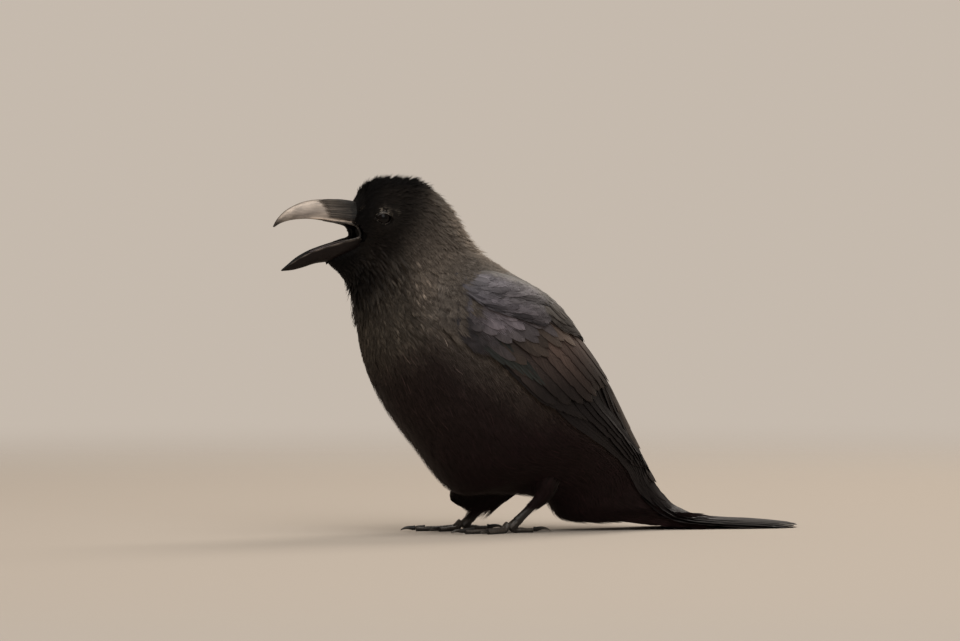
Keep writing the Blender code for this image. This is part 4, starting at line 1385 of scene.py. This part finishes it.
def forehead_fringe(coat, side):
    """Short dark feathers that turn forward from the face over the bristles' roots."""
    n, t = 760, np.linspace(0, 1, 5)[None]
    down = RNG.uniform(0.0, 1.0, n)
    start = RNG.uniform(0.1, 1.05, n) - 0.25 * down**3
    reach = start + RNG.uniform(0.35, 0.95, n)
    row = down[:, None] * 4.1 + RNG.normal(0, 0.2, n)[:, None] * t
    height = 0.6 + (0.6 + 1.3 * down[:, None]) * (1 - t) ** 1.4 + RNG.uniform(0, 0.7, n)[:, None] * t
    line, normal = over_bill(side, start, reach, row, height, t)
    ahead = ramp(reach, 1.1, 1.9) * RNG.uniform(0.3, 1.0, n)
    colours = mix(mix(FACE_BLACK, LORES_BROWN, RNG.random(n)), BRISTLE_GREY, 0.55 * ahead)
    places = np.stack([0.5 - side * 0.2 * down, np.full(n, 0.016)], -1)
    coat.add(blade_feather(RNG, 3, 0.3), line, normal, RNG.uniform(0.18, 0.36, n), colours, places,
             root_shade=0.2)


# ================================================================ eyes


def build_eye(side_name, side, eye_material, lid_material):
    """A round wet eyeball in dark lids."""
    centre = np.array([EYE_X, side * EYE_Y, EYE_Z])
    a, b = np.meshgrid(np.linspace(0, math.pi, 28), turns(48), indexing="ij")
    ball = np.stack([np.sin(a) * np.cos(b), side * np.cos(a), np.sin(a) * np.sin(b)], -1)
    grid = centre + ball * EYE_RADIUS * (1 + 0.02 * bump(a, 0, 0.5)[..., None])
    eye = ring_mesh(f"{side_name}_eyeball", grid, side > 0, eye_material)
    paint(eye, np.where(a.reshape(-1, 1) < 0.36, PUPIL_BLACK, IRIS_BROWN))
    finished(eye, "eye", f"{side_name}_eye")
    lid_ring(side_name, side, centre, lid_material)


def on_eyeball(dx, dz):
    """How far out the eyeball's surface lies at places before its middle, up to a limit."""
    return np.sqrt(EYE_RADIUS**2 - np.minimum(dx**2 + dz**2, EYE_RADIUS**2 * 0.84))


def lid_coat(material):
    """Tiny feathers on the lids, some of them lightened with painted glints, most above the eye."""
    coat = Coat()
    n, t = 150, np.linspace(0, 1, 4)[None]
    for side in (-1, 1):
        turn = RNG.uniform(-math.pi, math.pi, n)
        above = np.clip(np.sin(turn + 0.2), 0, 1)
        out = RNG.uniform(1.12, 1.28 + 0.30 * above, n)
        start = np.stack([EYE_OPENING[0] * out * np.cos(turn), EYE_OPENING[1] * out * np.sin(turn)], -1)
        lie = np.stack([np.abs(np.sin(turn)) + 0.3, 0.5 * np.cos(turn) * np.sign(-np.sin(turn)) + 0.25], -1)
        lie = unit(lie + RNG.normal(0, 0.25, (n, 2)))
        run = t * RNG.uniform(0.9, 1.7, n)[:, None]
        dx, dz = (start[:, [k]] + lie[:, [k]] * run for k in (0, 1))
        ball = np.stack([dx, side * (on_eyeball(dx, dz) + 0.75 + 0.35 * t), dz], -1)
        # painted glints on some of the feathers, most above the eye
        pale = (RNG.random(n) < 0.05 + 0.45 * above) * RNG.uniform(0.3, 1.0, n)
        places = np.stack([0.5 - side * (0.18 + 0.01 * np.cos(turn)), 0.09 + 0.01 * np.sin(turn)], -1)
        coat.add(blade_feather(RNG, 2, 0.3), ball + (EYE_X, side * EYE_Y, EYE_Z), unit(ball),
                 RNG.uniform(0.18, 0.34, n), mix(LID_DARK, LID_GLINT, pale), places, root_shade=0.8)
    return coat.build("lid_feathers", material, "feather")


def lid_ring(side_name, side, centre, material):
    """The lids: a dark rim of fine folds round the opening, wider above it and behind."""
    t, a = np.meshgrid(np.linspace(0, 1, 22), turns(96), indexing="ij")
    spread = 1 + t * (0.40 + 0.30 * np.clip(np.sin(a + 0.35), 0, 1))
    dx = EYE_OPENING[0] * spread * np.cos(a) * (1 + 0.14 * np.abs(np.cos(a)) ** 8)
    dz = EYE_OPENING[1] * spread * np.sin(a) * (1 - 0.12 * (np.sin(a) > 0) * (1 - t))
    folds = 0.16 * np.sin(t * 20 + 1.5 * np.sin(a * 3)) * np.sin(math.pi * t)
    lift = 0.25 + 0.55 * np.sin(math.pi * np.minimum(1, t * 1.25 + 0.1)) + folds - 1.6 * t**3
    grid = centre + np.stack([dx, side * (on_eyeball(dx, dz) + lift), dz], -1)
    ring = ring_mesh(f"{side_name}_lids", grid, side < 0, material)
    # A painted highlight along the lids' rim, strongest above and behind the eye and fainter below it.
    below, above = np.clip(-np.sin(a), 0, 1), np.clip(np.cos(a - 0.9), 0, 1) ** 3
    rim = bump(t, 0.16, 0.08) * (0.04 + 0.16 * below + 0.45 * above)
    paint(ring, mix(LID_DARK, LID_GLINT, rim).reshape(-1, 3))
    finished(ring, "feather")


# ================================================================ legs


def leg_ends(side_name):
    """Where the bare leg meets the foot and the feathers, and its lean, from the frame."""
    low, high = box_mm(f"{side_name}_tarsus")
    middle = (low[1] + high[1]) / 2
    lean = unit(LEG_LEAN)
    inset = LEG_RADIUS * np.array([lean[2], 0, lean[0]])
    return np.array([low[0], middle, low[2]]) + inset, np.array([high[0], middle, high[2]]) - inset, lean


def build_leg(side_name, side, material):
    """The bare leg and toes in one piece, with plates in front and on top and pads underneath."""
    nodes = [f"{side_name}_foot", f"{side_name}_tarsus"]
    leg = solid_copy(f"{side_name}_leg", nodes, 0.25, 0.42, 3, material)
    points, normals = points_and_normals(leg)
    foot, _, lean = leg_ends(side_name)
    ankle = foot - lean * TOE_TOP
    on_toes = points[:, 2] < TOE_TOP
    radius = np.hypot(*(points - ankle)[:, :2].T)
    phase = np.where(on_toes, radius / 2.5, (points - ankle) @ lean / 3.9) % 1.0
    plate = np.minimum(1, phase / 0.18) * (1 - 0.35 * phase)
    top = ramp(np.where(on_toes, normals[:, 2], -normals[:, 0] * 0.8 + normals[:, 2] * 0.6), -0.05, 0.35)
    pads = ramp(-normals[:, 2], 0.1, 0.6) * on_toes * 0.25 * np.sin(radius * 2.3) ** 2
    moved = points + normals * (top * (plate * 0.42 - 0.16) + pads)[:, None]
    moved[:, 2] = np.where(points[:, 2] < SOLE, points[:, 2], np.maximum(moved[:, 2], 0.02))
    set_points(leg, moved)
    shade = mix(LEG_GREY, LEG_GROOVE, top * (1 - np.minimum(1, phase / 0.22)))
    # painted highlights on the tops of the plates, strongest on the toes
    top_highlight = np.clip(top * plate, 0, 1) * np.where(on_toes, 1.0, 0.35)
    paint(leg, mix(shade, LEG_TOP_HIGHLIGHT, 0.6 * top_highlight))
    return finished(leg, "leg_skin", *nodes)


def build_claw(node, material):
    """A curved claw, dark at its root and paler towards its tip with a painted highlight."""
    claw = refined(f"{node}_horn", node, 0.28, 2, material, "claw")
    points, _ = points_and_normals(claw)
    low, high = box_mm(node.split("_")[0] + "_foot")
    away = np.hypot(*(points - (low + high) / 2)[:, :2].T)
    share = ramp(away, away.min(), away.max())
    paint(claw, mix(CLAW_DARK, CLAW_HIGHLIGHT, share**1.5))


def trouser_coat(material):
    """Loose feathers that hang round the top of each bare leg."""
    coat = Coat()
    feathers = several(6, loose_feather, 5, 0.4, 0.3, spread=0.5)
    strands = [hair(4)]
    for side_name, side in SIDES:
        tree = tree_of(f"{side_name}_thigh")
        for templates, rows, count, size, length in (
            (feathers, 10, 17, 2.2, 13.0), (strands, 9, 18, 0.20, 15.0)
        ):
            n = rows * count
            rise = np.repeat(np.linspace(1.0, 17.0, rows), count) + RNG.normal(0, 0.5, n)
            turn = (np.tile(np.arange(count), rows) + 0.5 * np.repeat(np.arange(rows) % 2, count)) / count
            turn = turn * 2 * math.pi + RNG.normal(0, 0.1, n)
            sizes = length * RNG.uniform(0.75, 1.25, n)
            lines, normals = hanging_lines(tree, side_name, rise, turn, sizes)
            lay_trouser(coat, templates, lines, normals, size, side, turn, rise)
    thigh_fringe(coat, feathers, strands)
    belly_apron(coat, feathers, strands)
    return coat.build("trousers", material, "feather")


def belly_apron(coat, feathers, strands):
    """Belly feathers that run straight on from the breast's slope and close in on the right leg."""
    _, heel, lean = leg_ends("right")
    t = np.linspace(0, 1, 6)[None]
    for templates, n, size, lowest in ((feathers, 760, 1.7, 11.0), (strands, 420, 0.20, 6.5)):
        turn = RNG.uniform(-math.pi, math.pi, n)[:, None] + RNG.normal(0, 0.16, n)[:, None] * t
        ahead, aside = np.cos(turn), np.sin(turn)
        top = APRON_TOP - 9.0 * RNG.random(n)[:, None] ** 1.5
        z = top - (top - lowest - 6.0 * RNG.random(n)[:, None]) * t
        raw = np.maximum(3.4 + 2.4 * (z - 14.7) + 4.5 * ramp(z, 14.7, 18), 3.4)
        deep = 3.0 * (1 - t) ** 1.3 - RNG.uniform(0, 0.9, n)[:, None] * t
        reach = np.where(ahead > 0, 52 * np.tanh(raw / 46) + 5.0 * ramp(z, 17, 26), 13.0) - deep
        x = heel[0] + lean[0] / lean[2] * (z - heel[2]) - ahead * reach
        y = heel[1] * (1 - 0.55 * ramp(z, 20, 35)) + aside * (6.0 + 0.3 * np.maximum(z - 14, 0) - deep)
        normal = unit(np.stack([-ahead, aside, np.full(z.shape, 0.2)], -1))
        lay_trouser(coat, templates, np.stack([x, y, z], -1), normal, size, 1, turn[:, 0], np.full(n, 6.0))


def lay_trouser(coat, templates, lines, normals, size, side, turn, rise):
    n = len(lines)
    colours = varied(np.repeat([BELLY_DARK], n, 0), 0.25)
    places = np.stack([0.5 + side * 0.2 + 0.02 * np.cos(turn), 0.6 + rise * 0.002], -1)
    choice = RNG.integers(0, len(templates), n)
    coat.deal(templates, choice, lines, normals, np.full(n, size), colours, places)


def hanging_lines(tree, side_name, rise, turn, sizes, knots=5):
    """Lines down the outside of a thigh and on along the bare leg. rise is the height of the root
    over the heel and turn its place round the leg, from the front."""
    _, heel, lean = leg_ends(side_name)
    axis, front = np.array([0.36, 0, 0.933]), np.array([-0.933, 0, 0.36])
    lines, normals = np.zeros((2, len(rise), knots, 3))
    for i, k in np.ndindex(lines.shape[:2]):
        out = front * math.cos(turn[i]) + np.array([0, math.sin(turn[i]), 0])
        t = k / (knots - 1)
        at = rise[i] - sizes[i] * t
        origin = Vector(heel + axis * max(at, 0.6) + out * 26)
        hit = tree.ray_cast(origin, Vector(-out), 25)
        reach = 26 - hit[3] if hit[0] is not None else 5.5
        if at < 0.6:
            reach = reach * (1 + 0.030 * at)
        lines[i, k] = heel + (axis if at > 0 else lean) * at + out * (max(reach, 3.6) - 1.6 * (1 - t) + 0.3)
        normals[i, k] = out
    return lines, normals


def thigh_fringe(coat, feathers, strands):
    """The full feathers in front of each thigh, which hang over the top of the bare leg."""
    t = np.linspace(0, 1, 6)[None]
    for side_name, side in SIDES:
        _, heel, lean = leg_ends(side_name)
        bulk = FRINGE_BULK[side_name]
        for templates, n, size in ((feathers, 260, 2.0), (strands, 130, 0.18)):
            turn = RNG.uniform(-1.9, 1.9, n)
            high = RNG.uniform(0.0, 1.0, n)
            radius = (12.0 * high + 6.5 * bulk)[:, None] * (1 - 0.62 * t**1.3)
            level = 12.0 + 10 * high[:, None] - (15.0 + 13.0 * bulk) * t * RNG.uniform(0.7, 1.12, n)[:, None]
            ahead, aside = np.cos(turn)[:, None] + 0 * t, np.sin(turn)[:, None] + 0 * t
            x = heel[0] - 3.0 - 0.5 * bulk + lean[0] / lean[2] * level * 0.75 - radius * ahead
            line = np.stack([x, heel[1] + radius * aside * 0.62, heel[2] + level], -1)
            normal = unit(np.stack([-ahead, aside * 0.8, np.full(x.shape, 0.25)], -1))
            lay_trouser(coat, templates, line, normal, size, side, turn, 17 * high)


# ================================================================ materials


class Nodes:
    """The node tree of a material or a world, with short ways to fill it."""

    def __init__(self, block):
        block.use_nodes = True
        self.block, self.tree = block, block.node_tree

    def set(self, node, *first, **named):
        """Gives a node's inputs values, or links them to other nodes' outputs, in turn or by name.
        A name has _ for each space; one with a small letter is a property instead."""
        for key in [key for key in named if key[0].islower()]:
            setattr(node, key, named.pop(key))
        for key, value in [*enumerate(first), *named.items()]:
            socket = node.inputs[key if isinstance(key, int) else key.replace("_", " ")]
            if isinstance(value, bpy.types.NodeSocket):
                self.tree.links.new(value, socket)
            else:
                socket.default_value = value
        return node

    def add(self, kind, *first, output=0, **named):
        return self.set(self.tree.nodes.new("ShaderNode" + kind), *first, **named).outputs[output]

    def math(self, operation, *values):
        return self.add("Math", *values, operation=operation)

    def ranged(self, value, *ends, kind="LINEAR"):
        """A value from between the first two ends, brought between the last two."""
        return self.add("MapRange", value, *ends, interpolation_type=kind)

    def noise(self, where, scale, detail, roughness):
        return self.add("TexNoise", Vector=where, Scale=scale, Detail=detail, Roughness=roughness)

    def surface(self, shade, relief, depth, **inputs):
        """The material, with the Plumage colour times shade, and relief as fine bumps."""
        colour = self.add("VertexColor", layer_name="Plumage")
        self.set(self.tree.nodes["Principled BSDF"],
                 Base_Color=self.add("VectorMath", colour, Scale=shade, operation="SCALE"),
                 Normal=self.add("Bump", Height=relief, Strength=depth, Distance=BUMP_HEIGHT), **inputs)
        return self.block


def feather_material(name, roughness, specular, tint, sheen, barbs, contrast, edge):
    """Feather: the Plumage colour, streaked along the barbs, darker on the side that the next
    feather shades and paler at the edge, from wear and painted sheen."""
    n = Nodes(bpy.data.materials.new(name))
    split = n.set(n.tree.nodes.new("ShaderNodeSeparateXYZ"), n.add("UVMap", uv_map="Vane"))
    across, along, _ = split.outputs
    beside = n.math("ABSOLUTE", n.math("SUBTRACT", across, 0.5))
    barb = n.math("MULTIPLY", n.math("MULTIPLY_ADD", beside, -0.45, along), barbs)
    spot = n.add("VectorMath", n.add("NewGeometry"), Scale=60.0, operation="SCALE")
    streaks = n.add("CombineXYZ", barb, n.math("MULTIPLY", across, 1.5))
    noise = n.noise(n.add("VectorMath", streaks, spot, operation="ADD"), 1.0, 3.0, 0.6)

    def smooth(value, *ends):
        return n.ranged(value, *ends, kind="SMOOTHSTEP")

    streak = smooth(noise, 0.3, 0.72, 1 - contrast, 1 + contrast)
    shaded = smooth(across, 0.0, 0.55, 0.62, 1.0)
    # the edges and tips are paler from wear and painted sheen
    worn = n.math("MAXIMUM", *(smooth(side, 0.86, 0.99, 1.0, edge) for side in (across, along)))
    return n.surface(
        n.math("MULTIPLY", n.math("MULTIPLY", streak, shaded), worn), noise, 0.25,
        Roughness=smooth(noise, 0.2, 0.8, roughness - 0.08, roughness + 0.10),
        Specular_IOR_Level=specular, Specular_Tint=(*tint, 1),
        Sheen_Weight=sheen, Sheen_Roughness=0.45, Sheen_Tint=(0.85, 0.75, 0.65, 1),
    )


def skin_material(name, roughness, specular, bump_scale, bump_depth):
    """Bare or hidden skin, legs and lids, coloured by the Plumage attribute."""
    n = Nodes(bpy.data.materials.new(name))
    noise = n.noise(n.add("NewGeometry"), bump_scale, 4.0, 0.6)
    return n.surface(n.ranged(noise, 0, 1, 0.5, 1.6), noise, bump_depth, Roughness=roughness,
                     Specular_IOR_Level=specular)


def horn_material(name, roughness, specular):
    """Horn of bill and claws: the Plumage colour with fine growth streaks along it, and scuffs."""
    n = Nodes(bpy.data.materials.new(name))
    place = n.add("NewGeometry")
    stretched = n.add("Mapping", place, Scale=(90, 520, 700), Rotation=(0, 0.25, 0))
    streaks, scuffs = n.noise(stretched, 1.0, 5.0, 0.62), n.noise(place, 160.0, 4.0, 0.65)
    return n.surface(n.ranged(streaks, 0.3, 0.7, 0.7, 1.25), streaks, 0.25,
                     Roughness=n.ranged(scuffs, 0.35, 0.7, roughness, roughness + 0.2),
                     Specular_IOR_Level=specular)


def plain_shader(name, **inputs):
    """A material's nodes and its shader."""
    n = Nodes(bpy.data.materials.new(name))
    return n, n.set(n.tree.nodes["Principled BSDF"], **inputs)


def eye_material():
    n, shader = plain_shader("eye", Roughness=0.07, Specular_IOR_Level=0.16)
    n.set(shader, Base_Color=n.add("VertexColor", layer_name="Plumage"))
    return n.block


def tongue_material():
    n, shader = plain_shader("tongue", Roughness=0.35)
    tone = n.tree.nodes.new("ShaderNodeValToRGB")
    for element, colour in zip(tone.color_ramp.elements, TONGUE_TONES):
        element.color = (*colour, 1)
    n.set(tone, n.noise(n.add("NewGeometry"), 700.0, 3.0, 0.5))
    n.set(shader, Base_Color=tone.outputs["Color"])
    return n.block


# ================================================================ stage


def build_floor():
    """A wide pale floor that fades into the background away from the bird."""
    bpy.ops.mesh.primitive_circle_add(vertices=96, radius=FLOOR_RADIUS, fill_type="NGON")
    floor = bpy.context.object
    floor.name = "floor"
    n, shader = plain_shader("floor", Base_Color=FLOOR_COLOUR, Roughness=0.9, Specular_IOR_Level=0.1)
    distance = n.add("VectorMath", n.add("NewGeometry"), operation="LENGTH", output="Value")
    fade = n.ranged(distance, *FLOOR_FADE, kind="SMOOTHERSTEP")
    blend = n.add("MixShader", fade, shader.outputs[0], n.add("BsdfTransparent"))
    n.set(n.tree.nodes["Material Output"], Surface=blend)
    floor.data.materials.append(n.block)


def area_light(name, place, size, power, colour):
    """A round soft light that points at the bird."""
    light = bpy.data.lights.new(name, "AREA")
    light.shape = "DISK"
    light.size, light.energy, light.color = size, power, colour
    made = in_scene(name, light)
    made.location = place
    made.rotation_euler = (Vector(LIGHT_AIM) - Vector(place)).to_track_quat("-Z", "Y").to_euler()


def build_lights():
    """A broad light overhead, one behind, one at the side, and a soft even light all round."""
    area_light("overhead", (-0.3, -0.6, 2.6), 2.4, 44, (1.0, 0.97, 0.92))
    area_light("behind", (1.5, 1.1, 1.9), 1.2, 26, (1.0, 0.93, 0.84))
    area_light("side", (-0.3, -2.6, 2.0), 2.0, 20, (0.97, 0.98, 1.0))
    n = Nodes(bpy.data.worlds.new("studio"))
    bpy.context.scene.world = n.block
    seen = n.set(n.tree.nodes["Background"], Color=BACKDROP)
    soft = n.add("Background", Color=BACKDROP, Strength=0.5)
    blend = n.add("MixShader", n.add("LightPath", output="Is Camera Ray"), soft, seen.outputs[0])
    n.set(n.tree.nodes["World Output"], Surface=blend)


def build_camera():
    """Level with the bird, 22 degrees round towards its front from its left side."""
    azimuth, elevation, distance = math.radians(-22), math.radians(1.2), 5.0
    camera = bpy.data.cameras.new("camera")
    camera.sensor_width = 36
    camera.lens = camera.sensor_width * distance / WIDTH_SEEN
    camera.clip_end = 60
    flat = math.cos(elevation)
    back = Vector((math.sin(azimuth) * flat, -math.cos(azimuth) * flat, math.sin(elevation)))
    made = in_scene("camera", camera)
    made.location = Vector((SHIFT_X * MM, 0, 0.1555)) + back * distance
    made.rotation_euler = (-back).to_track_quat("-Z", "Y").to_euler()
    bpy.context.scene.camera = made
    bpy.context.scene.view_settings.view_transform = "Standard"


# ================================================================ whole model


def main():
    build_floor()
    build_lights()
    build_camera()
    soft = feather_material("body_feather", 0.66, 0.16, (1, 0.92, 0.86), 0.06, 14, 0.35, 1.25)
    velvet = feather_material("head_feather", 0.70, 0.08, (1, 1, 1), 0.0, 10, 0.3, 1.2)
    covert = feather_material("covert_feather", 0.50, 0.22, (0.94, 0.93, 1.0), 0.05, 40, 0.30, 1.1)
    flight = feather_material("flight_feather", 0.44, 0.24, (0.96, 0.92, 1.0), 0.0, 110, 0.3, 2.2)
    bristle = feather_material("bristle", 0.5, 0.2, (1, 1, 1), 0.0, 10, 0.2, 1.1)
    leg_skin = skin_material("leg_skin", 0.42, 0.45, 900, 0.35)
    lid_skin = skin_material("lid_skin", 0.45, 0.4, 1500, 0.4)
    claw_horn = horn_material("claw", 0.26, 0.35)

    build_skin(skin_material("skin", 0.7, 0.05, 500, 0.2))
    head_coat(velvet)
    neck_coat(soft)
    throat_coat(soft)
    trunk_coat("left_trunk_coat", soft, 0, 180)
    trunk_coat("right_trunk_coat", soft, -180, 0)
    wing = WingSurface()
    covert_coat(wing, covert)
    shoulder_coat(wing, soft)
    flight_coat(wing, flight)
    tail_coat(flight)
    tail_covert_coat(soft)
    trouser_coat(soft)
    bristle_coat(bristle)
    lid_coat(bristle)

    build_bill("upper_bill_horn", UPPER_BILL, upper_tone, horn_material("upper_horn", 0.24, 0.35))
    build_bill("lower_bill_horn", LOWER_BILL, lower_tone, horn_material("lower_horn", 0.36, 0.16))
    gape_rim(lid_skin)
    mouth_lining(lid_skin)
    refined("tongue_flesh", "tongue", 0.5, 2, tongue_material(), "tongue_skin")
    for side_name, side in SIDES:
        build_eye(side_name, side, eye_material(), lid_skin)
        build_leg(side_name, side, leg_skin)
        for toe in ("inner", "middle", "outer", "hind"):
            build_claw(f"{side_name}_{toe}_claw", claw_horn)


def in_scene(name, data):
    made = bpy.data.objects.new(name, data)
    bpy.context.scene.collection.objects.link(made)
    return made


main()
